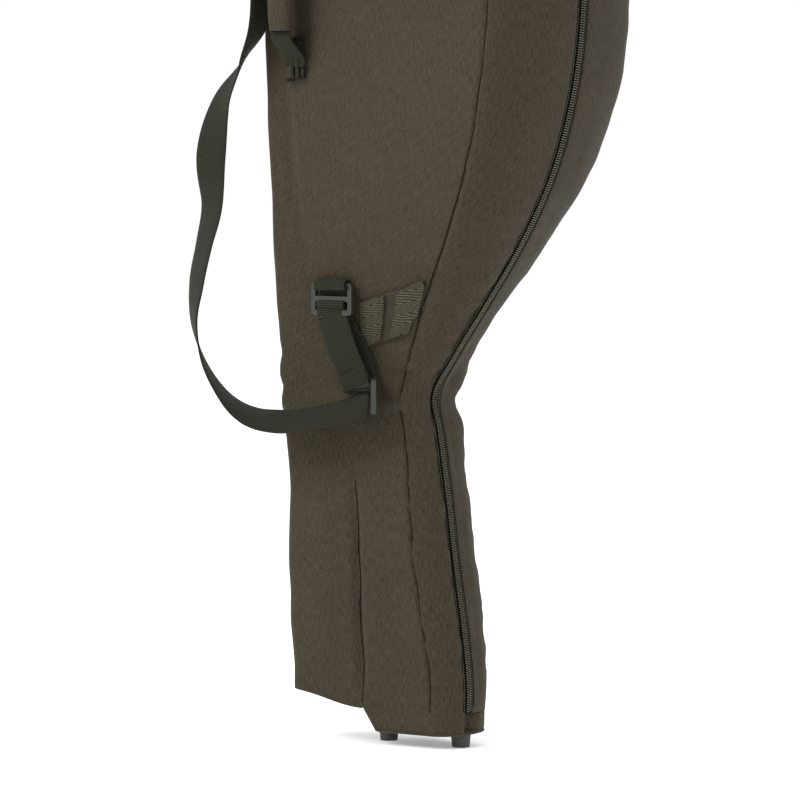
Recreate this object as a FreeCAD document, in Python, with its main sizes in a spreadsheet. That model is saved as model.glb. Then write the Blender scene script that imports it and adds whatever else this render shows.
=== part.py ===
import FreeCAD, Part
import Sketcher
import math
import os

# A padded fishing rod sleeve, in millimetres.
#
# The sleeve stands on two rubber feet.  The rods lie along the straight "spine" side,
# and the reels fill a bulge on the opposite "belly" side, where a long coil zip runs
# in the middle plane.  A narrow side pocket is sewn along the spine.
#
# While the pieces are being worked out, x runs from the spine (x = 0) to the belly,
# y runs from the front face (negative) to the rear face (positive), and z is up from
# the floor.  Last of all, one shared step moves every piece sideways, so that the
# origin lies on the floor under the middle of the whole sleeve.

doc = FreeCAD.newDocument("rod_sleeve")
sheet = doc.addObject("Spreadsheet::Sheet", "sizes")

# ---------------------------------------------------------------- driving sizes

SIZES = [
    ("sleeve_length", 1950, "floor to the top of the crown"),
    ("hood_length", 70, "height of the closed top, above the zip"),
    ("base_bottom", 12, "underside of the bottom panel"),
    ("hem_height", 32, "top of the bottom tray, where the zip starts"),
    ("base_tuck", 5, "how far the bottom panel is rounded in"),
    ("crown_tuck", 12, "how far the top panel is rounded in"),
    ("zip_straight_height", 1200, "above this the belly edge is straight"),
    ("canvas", 1.2, "thickness of the outer canvas"),
    ("padding", 6, "thickness of the foam"),
    ("lining", 0.8, "thickness of the lining"),
    ("divider_left", 80, "pocket side of the padded divider"),
    ("divider_thickness", 8, "padded divider between pocket and rods"),
    ("rear_depth", 42, "middle plane to the flat rear face at the cover's hinge"),
    ("spine_rounding", 14, "rounding of the two spine edges"),
    ("pocket_top", 1400, "mouth of the side pocket"),
    ("pocket_rise", 13, "how much higher the pocket's hem is at the spine"),
    ("pocket_floor", 6, "thickness of the pocket's bottom"),
    ("binding_height", 20, "webbing round the pocket's mouth"),
    ("binding_thickness", 1.6, "thickness of that webbing"),
    ("zip_slot_half", 4.5, "middle plane to the edge of the canvas at the zip"),
    ("zip_tape_reach", 15, "middle plane to the outer edge of the zip tape"),
    ("zip_tape_thickness", 1, "thickness of the zip tape"),
    ("zip_chain_half", 2.4, "half width of the closed coil chain"),
    ("zip_chain_thickness", 2.4, "thickness of the coil chain"),
    ("moving_gap", 0.3, "half of the gap between the cover and the sleeve"),
    ("board_thickness", 3, "stiffening board in the base"),
    ("foot_diameter", 19, "rubber foot, at the top"),
    ("foot_taper", 1.2, "narrowing of the foot's side towards the floor"),
    ("foot_spine_x", 91.5, "foot near the spine"),
    ("foot_belly_x", 180.5, "foot near the belly"),
    ("feet_y", -4, "line of the two feet"),
    ("screw_diameter", 4, "foot screw"),
    ("screw_head_diameter", 8, "head of the foot screw"),
    ("screw_head_height", 2.4, "height of that head"),
    ("screw_clearance", 0.3, "hole less screw, on the radius"),
    ("screw_seat", 3, "floor to the underside of the screw's head"),
    ("washer_diameter", 9, "washer on the base board"),
    ("washer_thickness", 1, "thickness of the washer"),
    ("nut_width", 7, "width across flats of the foot's nut"),
    ("nut_thickness", 3.2, "thickness of the foot's nut"),
    ("strap_width", 38, "shoulder strap webbing"),
    ("webbing_thickness", 2, "thickness of the strap and anchor webbing"),
    ("handle_width", 25, "handle webbing"),
    ("tab_height", 39, "box-stitched handle tab"),
    ("tab_width", 34, "box-stitched handle tab"),
    ("tab_thickness", 4, "two layers of webbing"),
    ("handle_x", 52, "middle of the handle tabs"),
    ("handle_middle_height", 743, "middle of the handle"),
    ("handle_span", 182, "between the middles of the two tabs"),
    ("grip_length", 130, "padded handle sleeve"),
    ("grip_width", 28, "padded handle sleeve"),
    ("grip_thickness", 18, "padded handle sleeve"),
    ("grip_standoff", 31, "middle of the grip to the front face"),
    ("ring_width", 50, "three-bar ring, outside"),
    ("ring_height", 31, "three-bar ring, outside"),
    ("ring_bar", 5, "width of a bar of the ring"),
    ("ring_thickness", 4, "thickness of the ring"),
    ("ring_x", 80, "middle of the lower ring"),
    ("ring_top_height", 440, "top bar of the lower ring"),
    ("ring_standoff", 8, "lower ring to the front face"),
    ("tail_length", 68, "doubled webbing below the lower ring"),
    ("adjuster_width", 44, "strap adjuster, outside"),
    ("adjuster_height", 34, "strap adjuster, outside"),
    ("adjuster_bar", 5.5, "width of a bar of the adjuster"),
    ("adjuster_thickness", 5, "thickness of the adjuster"),
    ("upper_ring_height", 1362, "top bar of the upper ring"),
    ("upper_ring_x", 44, "middle of the upper ring"),
    ("slider_length", 11, "body of the zip slider"),
    ("slider_width", 9.5, "body of the zip slider"),
    ("slider_plate", 1.1, "one plate of the zip slider"),
    ("slider_clearance", 0.4, "plates to the chain"),
    ("slider_drop", 14, "zip's top stop to the top of the closed slider"),
    ("puller_length", 30, "zip puller"),
    ("puller_width", 7, "zip puller"),
    ("puller_thickness", 3.4, "zip puller"),
    ("puller_corner", 2, "rounding of the puller's corners"),
    ("puller_eye_inset", 2.4, "end of the puller to its eye"),
    ("bail_wire", 1.4, "wire of the puller's bail"),
    ("bail_clearance", 0.2, "bail's wire to the puller's eye"),
    ("stop_length", 4, "crimped stop at each end of the zip"),
    ("stop_rise", 0.6, "crimped stop above the chain"),
    ("coil_rise", 0.3, "chain above the belly's edge, for the slider"),
    ("bridge_height", 4.2, "slider bridge that carries the puller"),
    ("inner_strap_width", 25, "rod straps inside"),
    ("inner_strap_low_height", 260, "lower rod strap"),
    ("inner_strap_high_height", 1250, "upper rod strap"),
    ("inner_strap_clearance", 8, "rod strap's ends to the walls beside it"),
    ("loop_height", 46, "hanging loop at the crown"),
    ("loop_setback", 24, "divider to the hanging loop"),
    ("loop_width", 30, "hanging loop at the crown"),
]

# The outline of the sleeve at each height.  "belly" is the width from the spine to
# the zip, "depth" is the middle plane to the front face at its belly edge, "setback"
# is that edge to the zip, and "spine" is the middle plane to the front at the spine.
STATIONS = [
    ("foot", 12, 193, 40, 20, 41),
    ("shin", 118, 187, 46, 20, 46),
    ("calf", 247, 167, 46, 17, 50),
    ("waist", 318, 150, 45, 10, 55),
    ("flare", 370, 176, 47, 24, 60),
    ("swell", 418, 213, 55, 37, 66),
    ("bulge", 475, 255, 76, 38, 70),
    ("hip", 541, 293, 97, 35, 74),
    ("reel", 620, 320, 109, 33, 79),
    ("crest", 703, 330, 109, 34, 81),
    ("brow", 800, 325, 105, 34, 76),
    ("shoulder", 900, 285, 85, 34, 66),
    ("nape", 1000, 225, 60, 30, 52),
    ("throat", 1100, 185, 45, 24, 42),
]
STATION_SIZES = ("height", "belly", "depth", "setback", "spine")

# The straight upper part and the crown have widths only: their heights follow
# the sleeve's length.
STRAIGHT = ("straight", 160, 38, 20, 36)


def fill_sheet():
    row = 1
    for name, value, meaning in SIZES:
        write_cell(row, name, value, meaning)
        row += 1
    for station in STATIONS:
        for kind, value in zip(STATION_SIZES, station[1:]):
            write_cell(row, station[0] + "_" + kind, value, kind + " at the " + station[0])
            row += 1
    for kind, value in zip(STATION_SIZES[1:], STRAIGHT[1:]):
        write_cell(row, "straight_" + kind, value, kind + " of the straight upper part")
        row += 1


def write_cell(row, name, value, meaning):
    sheet.set("A" + str(row), meaning)
    sheet.set("B" + str(row), str(value))
    sheet.setAlias("B" + str(row), name)


def size(name):
    return float(sheet.get(name))


fill_sheet()
doc.recompute()

UP = FreeCAD.Vector(0, 0, 1)
SKIN = size("canvas") + size("padding") + size("lining")
DIVIDER_RIGHT = size("divider_left") + size("divider_thickness")
HOOD_BOTTOM = size("sleeve_length") - size("hood_length")
subparts = []


def keep(thing, node):
    thing.Label = node
    subparts.append((thing, node))
    return thing


# ---------------------------------------------------------------- fabric outlines

GUSSET_STEPS = 4


def all_stations():
    found = []
    for station in STATIONS:
        name = station[0]
        found.append([size(name + "_" + kind) for kind in STATION_SIZES])
    straight = [size("straight_" + kind) for kind in STATION_SIZES[1:]]
    found.append([size("zip_straight_height")] + straight)
    found.append([size("sleeve_length")] + straight)
    return found


def half_curve(station, start_x, start_depth):
    """The outside of one half, from start_x round to the zip, with y as the depth."""
    height, belly, depth, setback, spine = station
    edge_x = belly - setback
    tape_angle = math.acos(size("zip_tape_reach") / depth)
    angles = [tape_angle * step / GUSSET_STEPS for step in range(GUSSET_STEPS + 1)]
    for reach in (size("zip_slot_half"), size("zip_chain_half"), size("moving_gap")):
        angles.append(math.acos(reach / depth))
    points = [(start_x, start_depth)]
    for angle in angles:
        points.append((edge_x + setback * math.sin(angle), depth * math.cos(angle)))
    return points


def front_curve(station):
    height, belly, depth, setback, spine = station
    slope = (depth - spine) / (belly - setback)
    start_x = size("divider_left")
    return half_curve(station, start_x, spine + slope * start_x)


def rear_curve(station):
    return half_curve(station, DIVIDER_RIGHT + size("moving_gap"), size("rear_depth"))


def tray_rear_curve(station):
    return half_curve(station, size("divider_left"), size("rear_depth"))


def corner(centre_x, centre_y, radius, first, last):
    """Points on a quarter turn, from the angle first to the angle last in degrees."""
    points = []
    for step in range(5):
        angle = math.radians(first + (last - first) * step / 4)
        x = centre_x + radius * math.cos(angle)
        points.append((x, centre_y + radius * math.sin(angle)))
    return points


def pocket_curve(station):
    """The outside of the pocket from the divider's front, round the spine, to its back."""
    height, belly, depth, setback, spine = station
    slope = (depth - spine) / (belly - setback)
    radius = size("spine_rounding")
    start_x = size("divider_left")
    points = [(start_x, -spine - slope * start_x)]
    points += corner(radius, radius - spine, radius, -90, -180)
    points += corner(radius, size("rear_depth") - radius, radius, 180, 90)
    points.append((DIVIDER_RIGHT, size("rear_depth")))
    return points


def curve_at(height, outline):
    """An outline between two stations, mixed point by point."""
    stations = all_stations()
    below = stations[0]
    above = stations[-1]
    for low, high in zip(stations, stations[1:]):
        if low[0] <= height <= high[0]:
            below = low
            above = high
            break
    share = (height - below[0]) / (above[0] - below[0])
    pairs = zip(outline(below), outline(above))
    return [(a[0] + (b[0] - a[0]) * share, a[1] + (b[1] - a[1]) * share) for a, b in pairs]


def heights_between(low, high):
    inner = [station[0] for station in all_stations() if low + 1 < station[0] < high - 1]
    return [low] + inner + [high]


def inset(points, distance, side, start_slide, end_slide):
    """Move a polyline inwards; its ends slide along the two given directions.

    side is +1 when the inside lies to the left of the way the points run.
    """
    normals = []
    for (x0, y0), (x1, y1) in zip(points, points[1:]):
        length = math.hypot(x1 - x0, y1 - y0)
        normals.append((-side * (y1 - y0) / length, side * (x1 - x0) / length))
    moved = [slide(points[0], normals[0], start_slide, distance)]
    for point, first, second in zip(points[1:], normals, normals[1:]):
        share = distance / (1 + first[0] * second[0] + first[1] * second[1])
        moved.append((
            point[0] + (first[0] + second[0]) * share,
            point[1] + (first[1] + second[1]) * share,
        ))
    moved.append(slide(points[-1], normals[-1], end_slide, distance))
    return moved


def slide(point, normal, direction, distance):
    travel = distance / (normal[0] * direction[0] + normal[1] * direction[1])
    return (point[0] + direction[0] * travel, point[1] + direction[1] * travel)


def wire_of(points, height):
    """A closed outline.  height is a number, or a function of x for a tilted one."""
    corners = []
    for x, y in points:
        level = height(x) if callable(height) else height
        corners.append(FreeCAD.Vector(x, y, level))
    return Part.makePolygon(corners + corners[:1])


def ruled_solid(wires):
    return Part.makeLoft(wires, True, True)


def add_feature(node, shape):
    feature = doc.addObject("Part::Feature", node)
    feature.Shape = shape
    return keep(feature, node)


# ---------------------------------------------------------------- shells of the tube

# Points of a half curve: the face, the gusset, the tape, the slot, the chain, the gap.
TAPE_POINT = GUSSET_STEPS + 1
SLOT_POINT = TAPE_POINT + 1
CHAIN_POINT = SLOT_POINT + 1
GAP_POINT = CHAIN_POINT + 1


def half_band(height, outline, mirror, outer, inner, first, last):
    """The closed outline of one layer of a half: between two insets and two points."""
    curve = curve_at(height, outline)
    outside = inset(curve, outer, -1, (0, -1), (-1, 0))[first:last + 1]
    inside = inset(curve, inner, -1, (0, -1), (-1, 0))[first:last + 1]
    band = outside + inside[::-1]
    return [(x, y * mirror) for x, y in band]


def half_layer(node, outline, mirror, outer, inner, first, last, low, high):
    wires = []
    for height in heights_between(low, high):
        band = half_band(height, outline, mirror, outer, inner, first, last)
        wires.append(wire_of(band, height))
    return add_feature(node, ruled_solid(wires))


def zip_side(name, outline, mirror, low, high):
    """Canvas, foam, lining, zip tape and coil chain of one half."""
    canvas = size("canvas")
    foam = canvas + size("padding")
    tape = canvas + size("zip_tape_thickness")
    chain_top = (tape + canvas - size("zip_chain_thickness")) / 2
    chain_bottom = chain_top + size("zip_chain_thickness")
    half_layer(name + "_outer", outline, mirror, 0, canvas, 0, SLOT_POINT, low, high)
    joins = (low, size("flare_height"), size("nape_height"), high)
    for position, start, end in zip(("lower", "reel", "upper"), joins, joins[1:]):
        foam_name = name + "_foam_" + position
        half_layer(foam_name, outline, mirror, canvas, foam, 0, TAPE_POINT, start, end)
    half_layer(name + "_lining", outline, mirror, foam, SKIN, 0, TAPE_POINT, low, high)
    zip_name = "zip_tape_" + name.split("_")[0]
    half_layer(zip_name, outline, mirror, canvas, tape, TAPE_POINT, CHAIN_POINT, low, high)
    coil_name = "zip_coil_" + name.split("_")[0]
    half_layer(
        coil_name, outline, mirror, chain_top, chain_bottom, CHAIN_POINT, GAP_POINT, low, high
    )


def pocket_band(height, outer, inner):
    curve = curve_at(height, pocket_curve)
    outside = inset(curve, outer, -1, (0, 1), (0, -1))
    inside = inset(curve, inner, -1, (0, 1), (0, -1))
    return outside + inside[::-1]


def pocket_hem(x):
    """The pocket's bottom edge rises towards the spine."""
    share = 1 - x / DIVIDER_RIGHT
    return size("hem_height") + size("moving_gap") + size("pocket_rise") * share


def pocket_layer(node, outer, inner, low, high):
    wires = []
    for height in heights_between(low, high):
        level = pocket_hem if height == low and low < size("hem_height") + 1 else height
        wires.append(wire_of(pocket_band(height, outer, inner), level))
    return add_feature(node, ruled_solid(wires))


def pocket_bottom_panel():
    curve = curve_at(size("hem_height"), pocket_curve)
    ring = inset(curve, SKIN, -1, (0, 1), (0, -1))
    ring[-1] = (size("divider_left"), ring[-1][1])
    low = wire_of(ring, pocket_hem)
    high = low.copy()
    high.translate(UP * size("pocket_floor"))
    return add_feature("pocket_bottom", ruled_solid([low, high]))


def side_pocket():
    low = size("hem_height")
    high = size("pocket_top")
    canvas = size("canvas")
    foam = canvas + size("padding")
    pocket_layer("pocket_outer", 0, canvas, low, high)
    pocket_layer("pocket_foam", canvas, foam, low, high)
    pocket_layer("pocket_lining", foam, SKIN, low, high)
    pocket_bottom_panel()
    edge = high - size("binding_height")
    pocket_layer("pocket_mouth_binding", -size("binding_thickness"), 0, edge, high)


def divider_section(height, rear_y):
    front = curve_at(height, front_curve)
    inner = inset(front, SKIN, -1, (0, -1), (-1, 0))
    slope = (inner[1][1] - inner[0][1]) / (inner[1][0] - inner[0][0])
    left = size("divider_left")
    front_left = -inner[0][1]
    front_right = front_left - slope * (DIVIDER_RIGHT - left)
    corners = [(left, front_left), (DIVIDER_RIGHT, front_right)]
    return corners + [(DIVIDER_RIGHT, rear_y), (left, rear_y)]


def divider(node, low, high, rear_y):
    wires = []
    for height in heights_between(low, high):
        wires.append(wire_of(divider_section(height, rear_y), height))
    return add_feature(node, ruled_solid(wires))


# ---------------------------------------------------------------- closed ends

def closed_outline(height, distance, tuck):
    """The whole outline of the rod tube.

    distance moves it inwards, for a layer; tuck then draws it towards its middle,
    for a rounded end.
    """
    front = inset(curve_at(height, front_curve), distance, -1, (0, -1), (-1, 0))
    rear = inset(curve_at(height, tray_rear_curve), distance, -1, (0, -1), (-1, 0))
    left = size("divider_left") + distance
    for points in (front, rear):
        slope = (points[1][1] - points[0][1]) / (points[1][0] - points[0][0])
        points[0] = (left, points[0][1] + slope * (left - points[0][0]))
    middle = (left + front[-1][0]) / 2
    share = 1 - tuck / size("rear_depth")
    loop = [(x, -y) for x, y in front] + rear[::-1]
    return [(middle + (x - middle) * share, y * share) for x, y in loop]


def cup(levels, first_depth, thickness):
    """One layer of a closed end.

    levels are (height, tuck) pairs from the mouth to the closed end, first_depth is
    how far this layer lies inside the outermost one.
    """
    sign = 1 if levels[-1][0] > levels[0][0] else -1
    solids = []
    for depth in (first_depth, first_depth + thickness):
        ends = [(z, tuck) for z, tuck in levels[:-1]]
        ends.append((levels[-1][0] - sign * depth, levels[-1][1]))
        solids.append(ruled_solid([wire_of(closed_outline(z, depth, t), z) for z, t in ends]))
    return solids[0].cut(solids[1])


def nested_cups(levels, layers):
    """Layers of a closed end, one inside the other, from the canvas inwards."""
    depth = 0
    shapes = {}
    for layer, thickness in layers:
        shapes[layer] = cup(levels, depth, thickness)
        depth += thickness
    return shapes


def drill(shape, radius, low, high):
    for name in ("foot_spine_x", "foot_belly_x"):
        centre = FreeCAD.Vector(size(name), size("feet_y"), low)
        shape = shape.cut(Part.makeCylinder(radius, high - low, centre, UP))
    return shape


def base_tray():
    bottom = size("base_bottom")
    hem = size("hem_height")
    levels = [(hem, 0), ((hem + bottom) / 2, 0), (bottom, size("base_tuck"))]
    layers = [("outer", size("canvas")), ("foam", size("padding") / 2)]
    shapes = nested_cups(levels, layers)
    radius = size("screw_diameter") / 2 + size("screw_clearance")
    for layer in ("outer", "foam"):
        add_feature("base_" + layer, drill(shapes[layer], radius, 0, hem))


def base_board():
    level = size("base_bottom") + size("canvas") + size("padding") / 2
    low = wire_of(closed_outline(size("hem_height"), SKIN, size("base_tuck")), level)
    high = low.copy()
    high.translate(UP * size("board_thickness"))
    board = ruled_solid([low, high])
    radius = size("screw_diameter") / 2 + size("screw_clearance")
    add_feature("base_board", drill(board, radius, 0, size("hem_height")))


def hood():
    top = size("sleeve_length")
    shoulder = top - size("crown_tuck")
    levels = [(HOOD_BOTTOM, 0), (shoulder, 0), (top, size("crown_tuck"))]
    layers = [("outer", size("canvas")), ("foam", size("padding")), ("lining", size("lining"))]
    shapes = nested_cups(levels, layers)
    for layer in ("outer", "foam", "lining"):
        add_feature("hood_" + layer, shapes[layer])


# ---------------------------------------------------------------- feet and fasteners

def bound(thing, bindings):
    """Tie properties of an object to cells of the sheet, or to sums of them."""
    for prop, expression in bindings.items():
        thing.setExpression(prop, expression)


def at(x, y, z):
    return FreeCAD.Placement(FreeCAD.Vector(x, y, z), FreeCAD.Rotation())


def new_body(node, placement):
    body = doc.addObject("PartDesign::Body", node)
    body.Placement = placement
    return body


def plane_of(body, role):
    for plane in body.Origin.OriginFeatures:
        if plane.Role == role:
            return plane
    raise RuntimeError(role)


def new_sketch(body, name, role):
    sketch = body.newObject("Sketcher::SketchObject", name)
    sketch.AttachmentSupport = [(plane_of(body, role), "")]
    sketch.MapMode = "FlatFace"
    return sketch


def centred_rectangle(sketch, width, height, centre_y="0"):
    """A rectangle about the sketch's vertical axis, its sizes bound to expressions."""
    corners = [(-10, -5), (10, -5), (10, 5), (-10, 5)]
    first = sketch.GeometryCount
    for (x0, y0), (x1, y1) in zip(corners, corners[1:] + corners[:1]):
        start = FreeCAD.Vector(x0, y0, 0)
        sketch.addGeometry(Part.LineSegment(start, FreeCAD.Vector(x1, y1, 0)), False)
    for side in range(4):
        following = first + (side + 1) % 4
        sketch.addConstraint(Sketcher.Constraint("Coincident", first + side, 2, following, 1))
    for side, kind in ((0, "Horizontal"), (1, "Vertical"), (2, "Horizontal"), (3, "Vertical")):
        sketch.addConstraint(Sketcher.Constraint(kind, first + side))
    across = sketch.addConstraint(Sketcher.Constraint("DistanceX", first, 1, first, 2, 20))
    sketch.setExpression("Constraints[%d]" % across, width)
    along = sketch.addConstraint(Sketcher.Constraint("DistanceY", first + 1, 1, first + 1, 2, 10))
    sketch.setExpression("Constraints[%d]" % along, height)
    left = sketch.addConstraint(Sketcher.Constraint("DistanceX", first, 1, -1, 1, 10))
    sketch.setExpression("Constraints[%d]" % left, "(%s) / 2" % width)
    low = sketch.addConstraint(Sketcher.Constraint("DistanceY", first, 1, -1, 1, 5))
    sketch.setExpression("Constraints[%d]" % low, "(%s) / 2 - (%s)" % (height, centre_y))


def pad(body, name, sketch, length, midplane=True):
    feature = body.newObject("PartDesign::Pad", name)
    feature.Profile = sketch
    feature.Midplane = midplane
    feature.setExpression("Length", length)
    return feature


def pocket_through(body, name, sketch, length):
    feature = body.newObject("PartDesign::Pocket", name)
    feature.Profile = sketch
    feature.Midplane = True
    feature.setExpression("Length", length)
    return feature


def foot(node, x):
    """A tapered rubber foot, moulded round the head of its screw."""
    body = new_body(node, at(x, size("feet_y"), 0))
    block = body.newObject("PartDesign::AdditiveCone", node + "_block")
    bound(block, {
        "Radius1": "sizes.foot_diameter / 2 - sizes.foot_taper",
        "Radius2": "sizes.foot_diameter / 2",
        "Height": "sizes.base_bottom",
    })
    bore = body.newObject("PartDesign::SubtractiveCylinder", node + "_bore")
    bound(bore, {
        "Radius": "sizes.screw_diameter / 2 + sizes.screw_clearance",
        "Height": "sizes.base_bottom - sizes.screw_seat",
    })
    head = body.newObject("PartDesign::SubtractiveCylinder", node + "_head_room")
    bound(head, {
        "Radius": "sizes.screw_head_diameter / 2",
        "Height": "sizes.screw_head_height",
    })
    for hole in (bore, head):
        hole.Placement.Base = FreeCAD.Vector(0, 0, size("screw_seat"))
    return keep(body, node)


def at_both_feet(node, make_one):
    """Two equal solids, one on each foot, as one node."""
    pair = []
    for place, name in (("spine", "foot_spine_x"), ("belly", "foot_belly_x")):
        pair.append(make_one(node + "_" + place, size(name)))
    group = doc.addObject("Part::Compound", node)
    group.Links = pair
    return keep(group, node)


def cylinder(name, radius, length, x, z):
    thing = doc.addObject("Part::Cylinder", name)
    bound(thing, {"Radius": radius, "Height": length})
    thing.Placement = at(x, size("feet_y"), z)
    return thing


def tube(name, outer_radius, inner_radius, length, x, z):
    ring = doc.addObject("Part::Cut", name)
    ring.Base = cylinder(name + "_outside", outer_radius, length, x, z)
    ring.Tool = cylinder(name + "_hole", inner_radius, length, x, z)
    return ring


BOARD_TOP = (
    size("base_bottom") + size("canvas") + size("padding") / 2 + size("board_thickness")
)


def foot_screw(name, x):
    seat = size("screw_seat")
    top = seat + size("screw_head_height")
    head = cylinder(name + "_head", "sizes.screw_head_diameter / 2", "sizes.screw_head_height",
                    x, seat)
    shank_length = (
        "sizes.base_bottom - sizes.screw_seat - sizes.screw_head_height + sizes.canvas"
        " + sizes.padding / 2 + sizes.board_thickness + sizes.washer_thickness"
        " + sizes.nut_thickness + 1"
    )
    shank = cylinder(name + "_shank", "sizes.screw_diameter / 2", shank_length, x, top)
    screw = doc.addObject("Part::Fuse", name)
    screw.Base = head
    screw.Tool = shank
    return screw


def foot_washer(name, x):
    return tube(name, "sizes.washer_diameter / 2",
                "sizes.screw_diameter / 2 + sizes.screw_clearance",
                "sizes.washer_thickness", x, BOARD_TOP)


def foot_nut(name, x):
    level = BOARD_TOP + size("washer_thickness")
    blank = doc.addObject("Part::Prism", name + "_blank")
    blank.Polygon = 6
    bound(blank, {
        "Circumradius": "sizes.nut_width / 2 / cos(30)",
        "Height": "sizes.nut_thickness",
    })
    blank.Placement = at(x, size("feet_y"), level)
    nut = doc.addObject("Part::Cut", name)
    nut.Base = blank
    nut.Tool = cylinder(name + "_thread", "sizes.screw_diameter / 2", "sizes.nut_thickness",
                        x, level)
    return nut


# ---------------------------------------------------------------- the front face

def front_depth(x, height):
    """How far the front face lies in front of the middle plane, at x and height."""
    left = size("divider_left")
    if x >= left:
        curve = curve_at(height, front_curve)
        start, end = curve[0], curve[1]
    else:
        curve = curve_at(height, pocket_curve)
        start, end = (curve[1][0], -curve[1][1]), (curve[0][0], -curve[0][1])
    share = (x - start[0]) / (end[0] - start[0])
    return start[1] + (end[1] - start[1]) * share


def steps_between(low, high, count):
    return [low + (high - low) * step / count for step in range(count + 1)]


def face_patch(node, left_x, right_x, edges, offset, thickness):
    """A strip that lies on the front face.

    edges holds the low and high edge's heights at its left end and at its right end.
    """
    wires = []
    for x in steps_between(left_x, right_x, 4):
        share = (x - left_x) / (right_x - left_x)
        low = edges[0][0] + (edges[1][0] - edges[0][0]) * share
        high = edges[0][1] + (edges[1][1] - edges[0][1]) * share
        outer = []
        inner = []
        for height in steps_between(low, high, 3):
            depth = front_depth(x, height) + offset
            inner.append(FreeCAD.Vector(x, -depth, height))
            outer.append(FreeCAD.Vector(x, -depth - thickness, height))
        loop = outer + inner[::-1]
        wires.append(Part.makePolygon(loop + loop[:1]))
    return add_feature(node, ruled_solid(wires))


def ribbon(points, width, thickness):
    """A flat strip along points; each point has a position and the way of its width."""
    wires = []
    places = [place for place, across in points]
    count = len(points)
    for index, (place, across) in enumerate(points):
        before = places[max(index - 1, 0)]
        after = places[min(index + 1, count - 1)]
        along = (after - before).normalize()
        side = across - along * across.dot(along)
        side.normalize()
        normal = along.cross(side)
        half = side * (width / 2)
        rise = normal * (thickness / 2)
        loop = [place - half - rise, place + half - rise, place + half + rise, place - half + rise]
        wires.append(Part.makePolygon(loop + loop[:1]))
    return ruled_solid(wires)


# ---------------------------------------------------------------- carry handle

def handle_face():
    """How far out the front face is at the handle."""
    return front_depth(size("handle_x"), size("handle_middle_height"))


def handle_tab(node, direction):
    middle = size("handle_middle_height") + direction * size("handle_span") / 2
    half = size("tab_height") / 2
    left = size("handle_x") - size("tab_width") / 2
    right = size("handle_x") + size("tab_width") / 2
    edges = [(middle - half, middle + half)] * 2
    face_patch(node, left, right, edges, 0.1, size("tab_thickness"))


def handle_end(node, direction):
    """The webbing between a tab and the grip."""
    middle = size("handle_middle_height")
    x = size("handle_x")
    tab_height = middle + direction * size("handle_span") / 2
    standing = size("tab_thickness") + size("webbing_thickness") * 1.5
    tab_depth = front_depth(x, tab_height) + standing
    grip_depth = handle_face() + size("grip_standoff")
    grip_end = middle + direction * size("grip_length") / 2
    elbow = grip_end + direction * 4 * size("webbing_thickness")
    across = FreeCAD.Vector(1, 0, 0)
    points = [
        (FreeCAD.Vector(x, -tab_depth, tab_height), across),
        (FreeCAD.Vector(x, -grip_depth, elbow), across),
        (FreeCAD.Vector(x, -grip_depth, grip_end + direction * size("moving_gap")), across),
    ]
    shape = ribbon(points, size("handle_width"), size("webbing_thickness"))
    add_feature(node, shape)


def handle_grip():
    """A padded fabric sleeve with a slot for the webbing."""
    place = at(size("handle_x"), -handle_face() - size("grip_standoff"),
               size("handle_middle_height"))
    body = new_body("handle_grip", place)
    outline = new_sketch(body, "grip_outline", "XY_Plane")
    centred_rectangle(outline, "sizes.grip_width", "sizes.grip_thickness")
    block = pad(body, "grip_block", outline, "sizes.grip_length")
    doc.recompute()
    corners = edges_along(block.Shape, UP)
    fillet = body.newObject("PartDesign::Fillet", "grip_rounding")
    fillet.Base = (block, corners)
    fillet.setExpression("Radius", "sizes.grip_thickness * 0.4")
    slot = new_sketch(body, "grip_slot_outline", "XY_Plane")
    centred_rectangle(slot, "sizes.handle_width + 0.6", "sizes.webbing_thickness + 0.6")
    pocket_through(body, "grip_slot", slot, "sizes.grip_length + 2")
    return keep(body, "handle_grip")


def edges_along(shape, direction):
    names = []
    for index, edge in enumerate(shape.Edges):
        if len(edge.Vertexes) == 2:
            way = edge.Vertexes[1].Point - edge.Vertexes[0].Point
            if way.Length > 0 and abs(way.normalize().dot(direction)) > 0.999:
                names.append("Edge%d" % (index + 1))
    return names


def handle_webbing():
    strip = doc.addObject("Part::Box", "handle_webbing")
    bound(strip, {
        "Length": "sizes.handle_width",
        "Width": "sizes.webbing_thickness",
        "Height": "sizes.grip_length",
    })
    strip.Placement = at(
        size("handle_x") - size("handle_width") / 2,
        -handle_face() - size("grip_standoff") - size("webbing_thickness") / 2,
        size("handle_middle_height") - size("grip_length") / 2,
    )
    keep(strip, "handle_webbing")


# ---------------------------------------------------------------- strap hardware

def three_bar_ring(node, width, height, bar, thickness, placement):
    """A flat plastic ring with two windows, lying in its own XZ plane."""
    body = new_body(node, placement)
    outline = new_sketch(body, node + "_outline", "XZ_Plane")
    centred_rectangle(outline, width, height)
    plate = pad(body, node + "_plate", outline, thickness)
    doc.recompute()
    rounding = body.newObject("PartDesign::Fillet", node + "_rounding")
    rounding.Base = (plate, edges_along(plate.Shape, FreeCAD.Vector(0, 1, 0)))
    rounding.setExpression("Radius", bar + " * 0.8")
    window_height = "((%s) - 3 * %s) / 2" % (height, bar)
    offset = "(%s) / 2 + %s / 2" % (window_height, bar)
    for name, sign in (("upper", ""), ("lower", "-")):
        window = new_sketch(body, node + "_" + name + "_window", "XZ_Plane")
        centred_rectangle(window, "(%s) - 2 * %s" % (width, bar), window_height,
                          sign + "(%s)" % offset)
        pocket_through(body, node + "_" + name + "_slot", window, thickness + " * 3")
    return keep(body, node)


def ring_depth():
    return front_depth(size("ring_x"), size("ring_top_height")) + size("ring_standoff")


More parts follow.
